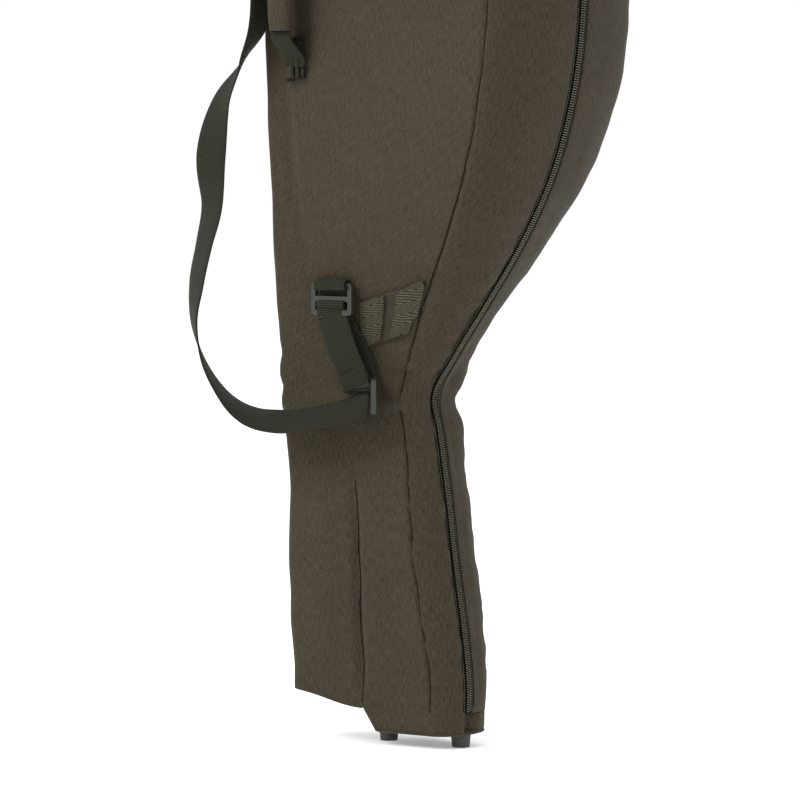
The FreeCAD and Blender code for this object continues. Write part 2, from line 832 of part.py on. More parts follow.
def lower_ring():
    middle = size("ring_top_height") - size("ring_height") / 2
    place = at(size("ring_x"), -ring_depth(), middle)
    three_bar_ring("strap_ring", "sizes.ring_width", "sizes.ring_height", "sizes.ring_bar",
                   "sizes.ring_thickness", place)


def loop_round_bar(node, x, depth, bar_height, tail):
    """Webbing that folds over a ring's top bar, open towards the sleeve's front face.

    tail is how far its two layers hang down behind the bar.
    """
    inner = size("ring_thickness") / 2 + 1
    outer = inner + size("webbing_thickness")
    top = bar_height - size("ring_bar") / 2
    half = (size("ring_width") - 2 * size("ring_bar")) / 2 - 1.5
    length = 2 * half
    start = FreeCAD.Vector(x - half, -depth, top)
    along = FreeCAD.Vector(1, 0, 0)
    ring = Part.makeCylinder(outer + 1.5, length, start, along)
    ring = ring.cut(Part.makeCylinder(inner + 1.5, length, start, along))
    reach = outer + 1.5
    keep_top = Part.makeBox(length, 2 * reach, reach, FreeCAD.Vector(x - half, -depth - reach, top))
    arch = ring.common(keep_top)
    back = Part.makeBox(length, size("webbing_thickness"), tail,
                        FreeCAD.Vector(x - half, -depth + inner + 1.5, top - tail))
    return add_feature(node, arch.fuse(back).removeSplitter())


# The strap's webbing hangs from the ring's middle bar, down to the adjuster.
TAIL_WAY = FreeCAD.Vector(22, 6, -75).normalize()


def tail_top():
    lower_bar = size("ring_top_height") - size("ring_height") - 1
    return FreeCAD.Vector(size("ring_x"), -ring_depth(), lower_bar)


def strap_tail():
    """The doubled webbing below the ring, as a flat closed loop of two layers."""
    top = tail_top()
    across = FreeCAD.Vector(1, 0, 0)
    end = top + TAIL_WAY * size("tail_length")
    width = size("strap_width") - 6
    spread = FreeCAD.Vector(0, 1, 0)
    layers = []
    for side in (-1, 1):
        offset = spread * (side * (size("webbing_thickness") / 2 + 0.6))
        middle = (top + end) * 0.5 + spread * (side * 5)
        below = top + offset - UP * 7
        points = [(top + offset, across), (below, across), (middle, across), (end + offset, across)]
        layers.append(ribbon(points, width, size("webbing_thickness")))
    add_feature("strap_tail_front", layers[0])
    add_feature("strap_tail_back", layers[1])


def adjuster_middle():
    end = tail_top() + TAIL_WAY * size("tail_length")
    return end + FreeCAD.Vector(28.4, -1.2, -9)


def strap_adjuster():
    """The adjuster is seen from its edge: its plane stands across the strap's run."""
    turn = FreeCAD.Rotation(UP, 130)
    place = FreeCAD.Placement(adjuster_middle(), turn)
    three_bar_ring("strap_adjuster", "sizes.adjuster_width", "sizes.adjuster_height",
                   "sizes.adjuster_bar", "sizes.adjuster_thickness", place)


# The shoulder strap: each point is x, y, z, the compass turn of its width from +X,
# and how far the width tips upwards.
STRAP_ROUTE = [
    (44, -50, 1324, 0, 0),
    (42, -58, 1240, 0, 0),
    (37, -71, 1100, 4, 0),
    (29, -86, 960, 16, 0),
    (23, -101, 830, 50, 0),
    (20, -104, 703, 93, 0),
    (-9, -101, 648, 130, 0),
    (-38, -99, 608, 158, 0),
    (-53, -97, 560, 178, 0),
    (-52, -97, 513, 163, 0),
    (-63, -96, 475, 155, 0),
    (-74, -95, 437, 152, 0),
    (-78, -94, 399, 140, 0),
    (-66, -92, 360, 130, 8),
    (-42, -90, 330, 130, 20),
    (-11, -88, 311, 130, 32),
    (25, -85, 304, 130, 37),
    (62, -82, 308, 130, 37),
    (94, -79, 314, 130, 32),
    (121, -74, 320, 130, 26),
]


def shoulder_strap():
    points = []
    for x, y, z, turn, lift in STRAP_ROUTE:
        angle = math.radians(turn)
        tip = math.radians(lift)
        flat = math.cos(tip)
        across = FreeCAD.Vector(math.cos(angle) * flat, math.sin(angle) * flat, math.sin(tip))
        points.append((FreeCAD.Vector(x, y, z), across))
    add_feature("shoulder_strap", ribbon(points, size("strap_width"), size("webbing_thickness")))


def upper_anchor():
    x = size("upper_ring_x")
    depth = front_depth(x, size("upper_ring_height")) + size("ring_standoff")
    middle = size("upper_ring_height") - size("ring_height") / 2
    three_bar_ring("upper_ring", "sizes.ring_width", "sizes.ring_height", "sizes.ring_bar",
                   "sizes.ring_thickness", at(x, -depth, middle))


# ---------------------------------------------------------------- zip hardware

def belly_edge(height):
    return curve_at(height, front_curve)[GAP_POINT][0]


def zip_stop(node, low):
    """A crimped stop across the closed chain, held by the root's half only."""
    edge = belly_edge(low) + size("stop_rise")
    block = doc.addObject("Part::Box", node)
    bound(block, {
        "Length": "sizes.zip_chain_thickness * 0.5",
        "Width": "sizes.zip_chain_half - sizes.moving_gap",
        "Height": "sizes.stop_length",
    })
    block.Placement = at(edge, -size("zip_chain_half"), low)
    return keep(block, node)


def slider_top():
    return HOOD_BOTTOM - size("slider_drop")


def box(name, length, width, height, x, y, z):
    thing = doc.addObject("Part::Box", name)
    bound(thing, {"Length": length, "Width": width, "Height": height})
    thing.Placement = at(x, y, z)
    return thing


def chain_face():
    """How far out the chain stands past the belly's edge, at the straight part."""
    return size("straight_belly") + size("coil_rise")


def zip_slider():
    """An outer plate over both chains, with a bridge for the puller."""
    low = slider_top() - size("slider_length")
    face = chain_face() + size("slider_clearance")
    half = size("slider_width") / 2
    plate = box("slider_plate_outer", "sizes.slider_plate", "sizes.slider_width",
                "sizes.slider_length", face, -half, low)
    bridge = box("slider_bridge_block", "sizes.bridge_height", "sizes.slider_plate * 2",
                 "sizes.slider_length * 0.7", face + size("slider_plate"),
                 -size("slider_plate"), low + size("slider_length") * 0.15)
    eye = doc.addObject("Part::Cylinder", "slider_eye")
    bound(eye, {"Radius": "sizes.slider_plate * 1.1", "Height": "sizes.slider_plate * 4"})
    turn = FreeCAD.Rotation(FreeCAD.Vector(1, 0, 0), -90)
    eye.Placement = FreeCAD.Placement(pull_axis() + FreeCAD.Vector(0, -size("slider_plate") * 2, 0),
                                      turn)
    drilled = doc.addObject("Part::Cut", "slider_bridge")
    drilled.Base = bridge
    drilled.Tool = eye
    slider = doc.addObject("Part::Fuse", "zip_slider")
    slider.Base = plate
    slider.Tool = drilled
    return keep(slider, "zip_slider")


def pull_axis():
    """The middle of the hole in the slider's bridge."""
    face = chain_face() + size("slider_clearance") + size("slider_plate")
    x = face + size("bridge_height") * 0.55
    z = slider_top() - size("slider_length") / 2
    return FreeCAD.Vector(x, 0, z)


def zip_puller():
    """A wire bail through the bridge, and a flat puller hanging from it."""
    radius = size("bail_wire") / 2
    reach = size("puller_width") / 2 + size("bail_wire") + size("moving_gap")
    drop = size("slider_length") * 0.75
    place = pull_axis()
    pin = Part.makeCylinder(radius, 2 * reach, FreeCAD.Vector(0, -reach, 0),
                            FreeCAD.Vector(0, 1, 0))
    bail = pin
    for side in (-1, 1):
        foot_point = FreeCAD.Vector(0, side * (reach - radius), -drop)
        bail = bail.fuse(Part.makeCylinder(radius, drop, foot_point, UP))
    low_pin = Part.makeCylinder(radius, 2 * reach, FreeCAD.Vector(0, -reach, -drop),
                                FreeCAD.Vector(0, 1, 0))
    bail = bail.fuse(low_pin).removeSplitter()
    feature = doc.addObject("Part::Feature", "zip_pull_bail")
    feature.Shape = bail
    feature.Placement = FreeCAD.Placement(place, FreeCAD.Rotation())
    keep(feature, "zip_pull_bail")

    body = new_body("zip_puller", FreeCAD.Placement(place, FreeCAD.Rotation()))
    outline = new_sketch(body, "puller_outline", "YZ_Plane")
    centred_rectangle(outline, "sizes.puller_width", "sizes.puller_length",
                      "-(sizes.slider_length * 0.75 + sizes.puller_length / 2 - sizes.puller_eye_inset)")
    plate = pad(body, "puller_plate", outline, "sizes.puller_thickness")
    doc.recompute()
    rounding = body.newObject("PartDesign::Fillet", "puller_rounding")
    rounding.Base = (plate, edges_along(plate.Shape, FreeCAD.Vector(1, 0, 0)))
    rounding.setExpression("Radius", "sizes.puller_corner")
    eye = body.newObject("PartDesign::SubtractiveCylinder", "puller_eye")
    bound(eye, {
        "Radius": "sizes.bail_wire / 2 + sizes.bail_clearance",
        "Height": "sizes.puller_width + 2",
    })
    half = size("puller_width") / 2 + 1
    across = FreeCAD.Rotation(FreeCAD.Vector(1, 0, 0), -90)
    eye.Placement = FreeCAD.Placement(FreeCAD.Vector(0, -half, -drop), across)
    return keep(body, "zip_puller")


# ---------------------------------------------------------------- inner rod straps

def inner_strap(node, height):
    """A hook-and-loop strap lying against the divider, inside the rod compartment."""
    front = divider_section(height, 0)[1][1]
    strip = doc.addObject("Part::Box", node)
    bound(strip, {"Length": "sizes.webbing_thickness", "Height": "sizes.inner_strap_width"})
    clear = size("inner_strap_clearance")
    strip.Width = size("rear_depth") - SKIN - front - 2 * clear
    strip.Placement = at(DIVIDER_RIGHT, front + clear, height)
    return keep(strip, node)


def hanging_loop():
    """A webbing loop standing on the crown, to hang the sleeve by."""
    left = size("divider_left") + size("loop_setback")
    top = size("sleeve_length")
    outer = size("loop_width") / 2
    inner = outer - size("webbing_thickness")
    width = size("handle_width")
    rise = size("loop_height") - outer
    shape = None
    for radius in (outer, inner):
        start = FreeCAD.Vector(left + outer, -width / 2, top + rise)
        arch = Part.makeCylinder(radius, width, start, FreeCAD.Vector(0, 1, 0))
        legs = Part.makeBox(2 * radius, width, rise, FreeCAD.Vector(left + outer - radius,
                                                                    -width / 2, top))
        whole = arch.fuse(legs)
        shape = whole if shape is None else shape.cut(whole)
    above = Part.makeBox(4 * outer, 2 * width, 2 * outer + rise,
                         FreeCAD.Vector(left - outer, -width, top))
    add_feature("hanging_loop", shape.common(above).removeSplitter())


# ---------------------------------------------------------------- the whole sleeve

GAP = size("moving_gap")
HEM = size("hem_height")

zip_side("front_panel", front_curve, -1, HEM, HOOD_BOTTOM)
zip_side("rear_cover", rear_curve, 1, HEM + 2 * GAP, HOOD_BOTTOM - 2 * GAP)
side_pocket()
divider("divider_panel", HEM, size("pocket_top"), size("rear_depth") - SKIN)
divider("upper_spine_panel", size("pocket_top"), HOOD_BOTTOM, size("rear_depth"))
base_tray()
base_board()
hood()
foot("foot_spine", size("foot_spine_x"))
foot("foot_belly", size("foot_belly_x"))
at_both_feet("foot_screws", foot_screw)
at_both_feet("foot_washers", foot_washer)
at_both_feet("foot_nuts", foot_nut)
handle_tab("handle_tab_lower", -1)
handle_tab("handle_tab_upper", 1)
handle_end("handle_end_lower", -1)
handle_end("handle_end_upper", 1)
handle_grip()
handle_webbing()
face_patch("anchor_band_lower", 100, 176, [(378, 417), (391, 435)], 0.3,
           size("webbing_thickness"))
lower_ring()
loop_round_bar("anchor_loop_lower", size("ring_x"), ring_depth(), size("ring_top_height"), 14)
strap_tail()
strap_adjuster()
upper_anchor()
loop_round_bar("anchor_loop_upper", size("upper_ring_x"),
               front_depth(size("upper_ring_x"), size("upper_ring_height"))
               + size("ring_standoff"), size("upper_ring_height"), 14)
shoulder_strap()
zip_stop("zip_bottom_stop", HEM + 2)
zip_stop("zip_top_stop", HOOD_BOTTOM - 6)
zip_slider()
zip_puller()
inner_strap("rod_strap_lower", size("inner_strap_low_height"))
inner_strap("rod_strap_upper", size("inner_strap_high_height"))
hanging_loop()

doc.recompute()


def stand_on_the_origin():
    """Move every piece so that the origin is under the middle of the whole sleeve."""
    whole = FreeCAD.BoundBox()
    for thing, node in subparts:
        whole.add(thing.Shape.BoundBox)
    step = FreeCAD.Vector(-whole.Center.x, -whole.Center.y, 0)
    for thing, node in subparts:
        thing.Placement = FreeCAD.Placement(
            thing.Placement.Base + step, thing.Placement.Rotation)
    doc.recompute()
    print("moved by %.3f, %.3f" % (step.x, step.y))


stand_on_the_origin()

for thing in doc.Objects:
    if "Invalid" in thing.State or "Error" in thing.State:
        raise RuntimeError(thing.Name + " failed to build")
for thing, node in subparts:
    if thing.Shape.isNull() or not thing.Shape.isValid():
        raise RuntimeError(node + " has no valid shape")

os.makedirs("parts", exist_ok=True)
for thing, node in subparts:
    thing.Shape.exportStep("parts/" + node + ".step")
    bounds = thing.Shape.BoundBox
    print("%-22s %9.1f mm3  %d solid(s)  z %.1f to %.1f" % (
        node, thing.Shape.Volume, len(thing.Shape.Solids), bounds.ZMin, bounds.ZMax))
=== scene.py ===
# %% [markdown]
# # A padded fishing rod sleeve
# The sleeve is a tall bag of heavy canvas over foam.  Rods stand in it with their
# reels on, so a straight tube swells into a bulge about a third of the way up.  The
# engineering model already holds every piece at its true place; this lesson gives
# those places cloth, webbing, teeth and stitches.
#
# The frame is loaded first.  The finished cloth may only stand a little proud of it.

# %% Load the frame
import bpy
import bmesh
import math
import numpy as np
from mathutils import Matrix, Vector, noise
from mathutils.bvhtree import BVHTree


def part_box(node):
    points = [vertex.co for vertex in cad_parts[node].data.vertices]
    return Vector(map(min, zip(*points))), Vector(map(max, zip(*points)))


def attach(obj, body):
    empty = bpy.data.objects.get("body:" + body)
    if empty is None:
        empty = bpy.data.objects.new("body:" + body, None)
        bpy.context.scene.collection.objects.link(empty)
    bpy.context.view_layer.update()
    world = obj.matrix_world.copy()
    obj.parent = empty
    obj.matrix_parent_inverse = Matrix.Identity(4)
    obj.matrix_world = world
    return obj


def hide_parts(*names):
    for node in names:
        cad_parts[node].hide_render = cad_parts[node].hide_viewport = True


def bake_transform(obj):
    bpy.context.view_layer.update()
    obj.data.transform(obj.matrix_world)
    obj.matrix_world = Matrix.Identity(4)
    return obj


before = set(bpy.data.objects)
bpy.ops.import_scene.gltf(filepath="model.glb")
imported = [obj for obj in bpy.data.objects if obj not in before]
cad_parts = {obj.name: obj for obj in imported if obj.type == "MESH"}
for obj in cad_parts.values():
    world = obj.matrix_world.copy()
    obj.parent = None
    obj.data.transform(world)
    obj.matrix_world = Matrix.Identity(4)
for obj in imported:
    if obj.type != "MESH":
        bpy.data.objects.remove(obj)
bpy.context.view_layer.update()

# %% [markdown]
# ## One ruler for every piece
# It is easier to think of the sleeve in millimetres from its own lines: x from the
# straight spine side towards the zip, y from the middle plane, negative on the front
# face, and z up from the floor.  The two lines are read from the frame's nodes, so
# nothing has to be fitted later.

# %% The sleeve's own lines
spine_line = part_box("pocket_outer")[0].x
middle_plane = (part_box("zip_coil_front")[1].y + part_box("zip_coil_rear")[0].y) / 2
rear_face = (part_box("pocket_outer")[1].y - middle_plane) * 1000
pocket_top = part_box("pocket_outer")[1].z * 1000
zip_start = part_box("rear_cover_outer")[0].z * 1000
zip_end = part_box("front_panel_outer")[1].z * 1000


def place(x, y, z):
    """A point in metres in the frame, from millimetres on the sleeve's own lines."""
    return Vector((spine_line + x / 1000, middle_plane + y / 1000, z / 1000))


def place_all(points):
    """The same for an array of points."""
    moved = np.asarray(points, float) / 1000
    return moved + np.array([spine_line, middle_plane, 0.0])


def on_sleeve(points):
    """Frame metres back to the sleeve's own millimetres."""
    return (points - np.array([spine_line, middle_plane, 0.0])) * 1000


def corners_of(node):
    """A node's lowest and highest corners in the sleeve's own millimetres."""
    low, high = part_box(node)
    return on_sleeve(np.array([low, high]))


print("zip from %.0f to %.0f mm, pocket to %.0f mm" % (zip_start, zip_end, pocket_top))

# %% [markdown]
# ## The outline, height by height
# A sewn sleeve has no exact formula.  A pattern cutter would note its width and depth
# at a few heights and draw a fair curve through them.  Here each row is a height, the
# width to the zip, the depth of the front edge of the belly, how far that edge lies
# behind the zip, and the depth at the spine.  A cubic through the rows gives every
# height between them.

# %% Outline table and its fair curve
OUTLINE = np.array([
    (12, 193, 40, 22, 44),
    (60, 194, 41, 21, 45),
    (118, 187, 46, 20, 49),
    (171, 178, 46, 20, 51),
    (247, 167, 46, 18, 53),
    (304, 157, 45, 13, 57),
    (330, 151, 45, 12, 59),
    (370, 176, 47, 24, 63),
    (418, 213, 55, 37, 69),
    (475, 255, 74, 39, 74),
    (541, 293, 93, 37, 79),
    (608, 316, 106, 35, 83),
    (703, 330, 109, 34, 85),
    (800, 325, 105, 34, 80),
    (900, 286, 85, 34, 68),
    (1000, 228, 61, 30, 54),
    (1100, 185, 46, 24, 43),
    (1200, 162, 39, 20, 37),
    (1300, 160, 38, 20, 36),
    (1600, 160, 38, 20, 36),
    (1950, 160, 38, 20, 36),
], float)


def fair(column, heights):
    """A column of the outline at any heights, by a cubic with natural slopes."""
    known = OUTLINE[:, 0]
    values = OUTLINE[:, column]
    slopes = np.gradient(values, known)
    heights = np.clip(np.asarray(heights, float), known[0], known[-1])
    index = np.clip(np.searchsorted(known, heights, side="right") - 1, 0, len(known) - 2)
    span = known[index + 1] - known[index]
    t = (heights - known[index]) / span
    a = (1 + 2 * t) * (1 - t) ** 2
    b = t * (1 - t) ** 2 * span
    c = t * t * (3 - 2 * t)
    d = t * t * (t - 1) * span
    low, high = values[index], values[index + 1]
    return a * low + b * slopes[index] + c * high + d * slopes[index + 1]


def belly(z):
    return fair(1, z)


def depth(z):
    return fair(2, z)


def setback(z):
    return fair(3, z)


def spine_depth(z):
    return fair(4, z)


def tube_edge(z):
    """Where the side pocket meets the rod tube."""
    return np.interp(z, [12, 20, 34, 60, 240, 500, 1400], [107, 101, 91, 90, 86, 82, 82])


def face_depth(x, z):
    """How far the front face stands in front of the middle plane."""
    return spine_depth(z) + (depth(z) - spine_depth(z)) * x / (belly(z) - setback(z))


def ramp(value, low, high):
    """0 below low, 1 above high, smooth between."""
    t = np.clip((value - low) / (high - low), 0, 1)
    return t * t * (3 - 2 * t)


print("widest %.0f mm, waist %.0f mm" % (belly(703), belly(330)))

# %% [markdown]
# ## Panels as grids
# Each cloth panel is a grid: columns run round the sleeve, rows run up it.  A grid
# keeps its own map of arc length and height, so the weave follows the cloth instead
# of the room.  Rows are closer together below the top of the bulge, where the cloth
# has most folds.

# %% Rows and columns
SLOT = 5.4            # half the gap in the cloth over the zip
CORNER = 12.0         # radius of the pocket's corners
REAR_SHARE = 0.88     # depth of the rear half against the front half
HINGE = 88.4          # where the rear cover is sewn on
HEM_ROW = 34          # the pocket's hem, above the base
FOLDED_TO = 762       # the cloth has closer rows up to here
low_rows = np.arange(14, FOLDED_TO, 5.0)
high_rows = np.arange(FOLDED_TO, zip_end - 1, 9.0)
ROWS = np.concatenate([low_rows, high_rows, [zip_end]])
ROWS[np.argmin(abs(ROWS - HEM_ROW))] = HEM_ROW
ROWS[np.argmin(abs(ROWS - pocket_top))] = pocket_top


def span(count):
    """Steps of a column strip, from 0 up to but not including 1."""
    return np.arange(count) / count


def stack(strips):
    """Join strips of (x, y), each an array of rows by columns, into one."""
    xs = np.concatenate([strip[0] for strip in strips], axis=1)
    ys = np.concatenate([strip[1] for strip in strips], axis=1)
    return xs, ys


def zip_lean(z):
    """How far the zip is pulled towards the front face round the bulge."""
    return -9.0 * ramp(-np.asarray(z, float), -1150, -850)


def gusset_strip(z, count, side):
    """From the belly seam round to the edge of the zip slot."""
    share = 1.0 if side < 0 else REAR_SHARE
    d = depth(z)[:, None] * share
    k = setback(z)[:, None]
    edge = (belly(z) - setback(z))[:, None]
    last = np.arccos(SLOT / d)
    angle = last * (np.arange(count + 1)[None, :] / count) ** 1.25
    lean = zip_lean(z)[:, None] * np.sin(angle) ** 3
    return edge + k * np.sin(angle), side * d * np.cos(angle) + lean


def main_front(z):
    """From the pocket seam, over the front face, round the gusset to the zip."""
    t = 1 - (1 - span(46)[None, :]) ** 1.5
    seam = tube_edge(z)[:, None]
    edge = (belly(z) - setback(z))[:, None]
    x = seam + (edge - seam) * t
    y = -face_depth(x, z[:, None])
    gusset_x, gusset_y = gusset_strip(z, 32, -1)
    return stack([(x, y), (gusset_x, gusset_y)])


def arc_strip(centre_x, centre_y, first, last, count):
    angle = np.radians(first + (last - first) * span(count))[None, :]
    return centre_x + CORNER * np.cos(angle), centre_y + CORNER * np.sin(angle)


def pocket_round(z):
    """From the hinge at the back, round the spine, to the pocket seam on the front."""
    one = np.ones_like(z)[:, None]
    front = spine_depth(z)[:, None]
    t = span(14)[None, :]
    back = (88 + (CORNER - 88) * t) * one, (rear_face + 2.5 * np.sin(np.pi * t)) * one
    corner_1 = arc_strip(CORNER * one, (rear_face - CORNER) * one, 90, 180, 7)
    t = span(20)[None, :]
    side_y = (rear_face - CORNER) + ((CORNER - front) - (rear_face - CORNER)) * t
    side = -2.0 * np.sin(np.pi * t) * one, side_y
    corner_2 = arc_strip(CORNER * one, CORNER - front, 180, 270, 9)
    t = np.arange(25)[None, :] / 24
    x = CORNER + (tube_edge(z)[:, None] - CORNER) * t
    slope = (depth(z)[:, None] - front) / (belly(z) - setback(z))[:, None]
    y = -(front + slope * x * ramp(x, CORNER - 1, CORNER + 30))
    return stack([back, corner_1, side, corner_2, (x, y)])


def rear_side(z):
    """From the hinge, over the rear face, round the gusset to the zip."""
    t = span(30)[None, :]
    edge = (belly(z) - setback(z))[:, None]
    d = depth(z)[:, None] * REAR_SHARE
    x = HINGE + (edge - HINGE) * t
    y = rear_face + (d - rear_face) * t
    return stack([(x, y), gusset_strip(z, 24, 1)])


def upper_wall(z):
    """Above the pocket: from the hinge line round the bare spine wall to the front."""
    one = np.ones_like(z)[:, None]
    edge = tube_edge(z)[:, None]
    t = span(3)[None, :]
    back = HINGE + (edge - HINGE) * t, rear_face * one * np.ones_like(t)
    t = np.arange(13)[None, :] / 12
    front = -face_depth(edge, z[:, None])
    side = edge - 1.5 * np.sin(np.pi * t), rear_face + (front - rear_face) * t
    return stack([back, side])


def without_last(strip):
    """A strip without its last column, which the next strip starts with."""
    return strip[0][:, :-1], strip[1][:, :-1]


print("rows:", len(ROWS))

# %% [markdown]
# ## Cloth, webbing and plastic
# The canvas is a heathered weave: short light and dark threads run both ways, so it
# reads as olive brown from afar and as fine streaks close by.  The streaks follow the
# panel's own map, where one unit is one metre of cloth.  Small node helpers keep each
# recipe short.

# %% Node helpers
class Recipe:
    """A material under construction; add() makes a node and wires its inputs."""

    def __init__(self, name):
        self.material = bpy.data.materials.new(name)
        self.material.use_nodes = True
        self.tree = self.material.node_tree
        self.tree.nodes.clear()
        self.shader = self.add("ShaderNodeBsdfPrincipled")
        output = self.add("ShaderNodeOutputMaterial")
        self.wire(self.shader.outputs["BSDF"], output.inputs["Surface"])

    def wire(self, source, target):
        self.tree.links.new(source, target)

    def add(self, kind, settings=None, **inputs):
        node = self.tree.nodes.new(kind)
        for key, value in (settings or {}).items():
            setattr(node, key, value)
        for key, value in inputs.items():
            self.give(node, key.replace("_", " "), value)
        return node

    def give(self, node, key, value):
        socket = node.inputs[int(key)] if key.isdigit() else node.inputs[key]
        if isinstance(value, bpy.types.NodeSocket):
            self.wire(value, socket)
        else:
            socket.default_value = value

    def math(self, operation, first, second=0.0):
        node = self.add("ShaderNodeMath", {"operation": operation})
        self.give(node, "0", first)
        self.give(node, "1", second)
        return node.outputs[0]

    def mapped(self, source, scale):
        node = self.add("ShaderNodeMapping", Vector=source, Scale=scale)
        return node.outputs[0]

    def cloud(self, vector, scale, detail=3.0, rough=0.55):
        node = self.add("ShaderNodeTexNoise", Vector=vector, Scale=scale, Detail=detail,
                        Roughness=rough)
        return node.outputs["Fac"]

    def blend(self, factor, first, second):
        node = self.add("ShaderNodeMix", {"data_type": "RGBA"})
        self.give(node, "0", factor)
        self.give(node, "6", first)
        self.give(node, "7", second)
        return node.outputs[2]

    def spread(self, value, low, high, start=0.0, end=1.0):
        node = self.add("ShaderNodeMapRange")
        self.give(node, "0", value)
        for key, number in zip("1234", (low, high, start, end)):
            self.give(node, key, number)
        return node.outputs[0]

    def bump(self, height, distance, strength=1.0, under=None):
        node = self.add("ShaderNodeBump", Height=height, Distance=distance, Strength=strength)
        if under is not None:
            self.wire(under, node.inputs["Normal"])
        return node.outputs[0]

    def finish(self, **inputs):
        for key, value in inputs.items():
            self.give(self.shader, key.replace("_", " "), value)
        return self.material


def colour(red, green, blue):
    """A colour from the 0-255 values a paint chart gives, made linear."""
    channels = []
    for value in (red, green, blue):
        share = value / 255
        channels.append(share / 12.92 if share < 0.04045 else ((share + 0.055) / 1.055) ** 2.4)
    return (*channels, 1.0)


# %% Canvas
def canvas_finish(name, dark, light, strength=1.0):
    made = Recipe(name)
    cloth = made.add("ShaderNodeUVMap", {"uv_map": "cloth"}).outputs[0]
    room = made.add("ShaderNodeTexCoord").outputs["Object"]
    across = made.cloud(made.mapped(cloth, (260, 1300, 1)), 1.0, 2.0, 0.6)
    along = made.cloud(made.mapped(cloth, (1000, 120, 1)), 1.0, 2.0, 0.6)
    threads = made.math("ADD", made.math("MULTIPLY", across, 0.38),
                        made.math("MULTIPLY", along, 0.62))
    grain = made.spread(threads, 0.34, 0.66)
    tone = made.blend(grain, dark, light)
    patches = made.spread(made.cloud(room, 9.0, 4.0, 0.6), 0.3, 0.7, 0.93, 1.06)
    shaded = made.add("ShaderNodeVectorMath", {"operation": "SCALE"})
    made.wire(tone, shaded.inputs[0])
    made.wire(patches, shaded.inputs["Scale"])
    slub = made.cloud(made.mapped(cloth, (240, 240, 1)), 1.0, 4.0, 0.65)
    crinkle = made.bump(slub, 0.0009, 0.22 * strength)
    weave = made.bump(threads, 0.0005, 0.6 * strength, crinkle)
    return made.finish(Base_Color=shaded.outputs[0], Roughness=0.88, Normal=weave,
                       Sheen_Weight=0.05, Sheen_Roughness=0.5, Specular_IOR_Level=0.2)


canvas = canvas_finish("heathered_canvas", colour(34, 29, 20), colour(67, 59, 44))
lining = canvas_finish("smooth_lining", colour(24, 24, 21), colour(38, 37, 33), 0.4)
print("canvas and lining are ready")


# %% Webbing
def webbing_finish(name, dark, light, chevrons):
    """Ribbed webbing; chevrons adds the herringbone bands of the anchor webbing."""
    made = Recipe(name)
    cloth = made.add("ShaderNodeUVMap", {"uv_map": "cloth"}).outputs[0]
    split = made.add("ShaderNodeSeparateXYZ", Vector=cloth)
    along, across = split.outputs[0], split.outputs[1]
    rib = made.math("SINE", made.math("MULTIPLY", along, 2 * math.pi / 0.0019))
    rib = made.spread(rib, -1.0, 1.0)
    fuzz = made.cloud(made.mapped(cloth, (900, 900, 1)), 1.0, 2.0)
    if chevrons:
        fold = made.math("PINGPONG", across, 0.0095)
        slant = made.math("ADD", along, fold)
        twill = made.math("SINE", made.math("MULTIPLY", slant, 2 * math.pi / 0.0021))
        twill = made.spread(twill, -0.5, 0.8)
        blocks = made.math("SINE", made.math("MULTIPLY", along, 2 * math.pi / 0.046))
        blocks = made.spread(blocks, -0.25, 0.25)
        rib = made.math("MULTIPLY", twill, made.spread(blocks, 0, 1, 0.45, 1.0))
    mixed = made.math("ADD", made.math("MULTIPLY", rib, 0.75), made.math("MULTIPLY", fuzz, 0.35))
    tone = made.blend(made.spread(mixed, 0.1, 0.95), dark, light)
    rise = made.bump(mixed, 0.0007, 0.8)
    return made.finish(Base_Color=tone, Roughness=0.85, Normal=rise, Sheen_Weight=0.03,
                       Specular_IOR_Level=0.15)


webbing = webbing_finish("ribbed_webbing", colour(13, 14, 10), colour(46, 46, 34), False)
anchor_webbing = webbing_finish("herringbone_webbing", colour(30, 28, 21), colour(84, 79, 62),
                                True)


# %% Plastic, rubber and metal
def moulded_finish(name, base, roughness, grain_scale, grain_depth, metallic=0.0,
                   specular=0.5):
    made = Recipe(name)
    room = made.add("ShaderNodeTexCoord").outputs["Object"]
    grain = made.cloud(room, grain_scale, 3.0)
    scuffs = made.spread(made.cloud(room, grain_scale * 0.12, 4.0), 0.35, 0.75,
                         roughness - 0.08, roughness + 0.12)
    lighter = tuple(min(1.0, channel * 1.35) for channel in base[:3]) + (1.0,)
    tone = made.blend(made.spread(grain, 0.35, 0.7), base, lighter)
    return made.finish(Base_Color=tone, Roughness=scuffs, Metallic=metallic,
                       Specular_IOR_Level=specular,
                       Normal=made.bump(grain, grain_depth, 0.5))


olive_plastic = moulded_finish("olive_plastic", colour(34, 37, 28), 0.38, 1400, 0.0001)
foot_rubber = moulded_finish("foot_rubber", colour(40, 40, 39), 0.62, 1800, 0.0002)
coil_nylon = moulded_finish("coil_nylon", colour(86, 86, 72), 0.42, 2500, 0.0001, 0.0,
                            0.4)
tape_cloth = moulded_finish("zip_tape_cloth", colour(12, 12, 10), 0.9, 2200, 0.0003, 0.0, 0.08)
dark_metal = moulded_finish("coated_zinc", colour(46, 46, 44), 0.4, 900, 0.0001, 0.8)
plated_steel = moulded_finish("plated_steel", colour(170, 170, 168), 0.35, 900, 0.0001, 1.0)
board_plastic = moulded_finish("board_plastic", colour(52, 52, 50), 0.5, 600, 0.0002)
thread = moulded_finish("sewing_thread", colour(56, 50, 38), 0.7, 3000, 0.0001)
# Near-black seam thread: it paints the shade in the seams and at the folded cloth edges beside the
# zip, together with the stitching.
seam_thread_and_shade = moulded_finish("seam_thread_and_shade", colour(10, 9, 7), 0.9, 3000, 0.0001, 0.0, 0.05)
print("materials:", len(bpy.data.materials))

# %% [markdown]
# ## From grids to cloth
# One helper turns arrays of points into a mesh with its cloth map, and joins strips
# that share an edge.  Another gives such a sheet its padding, inwards, and draws the
# inner skin back where a tight bend would push it out through the outer one.

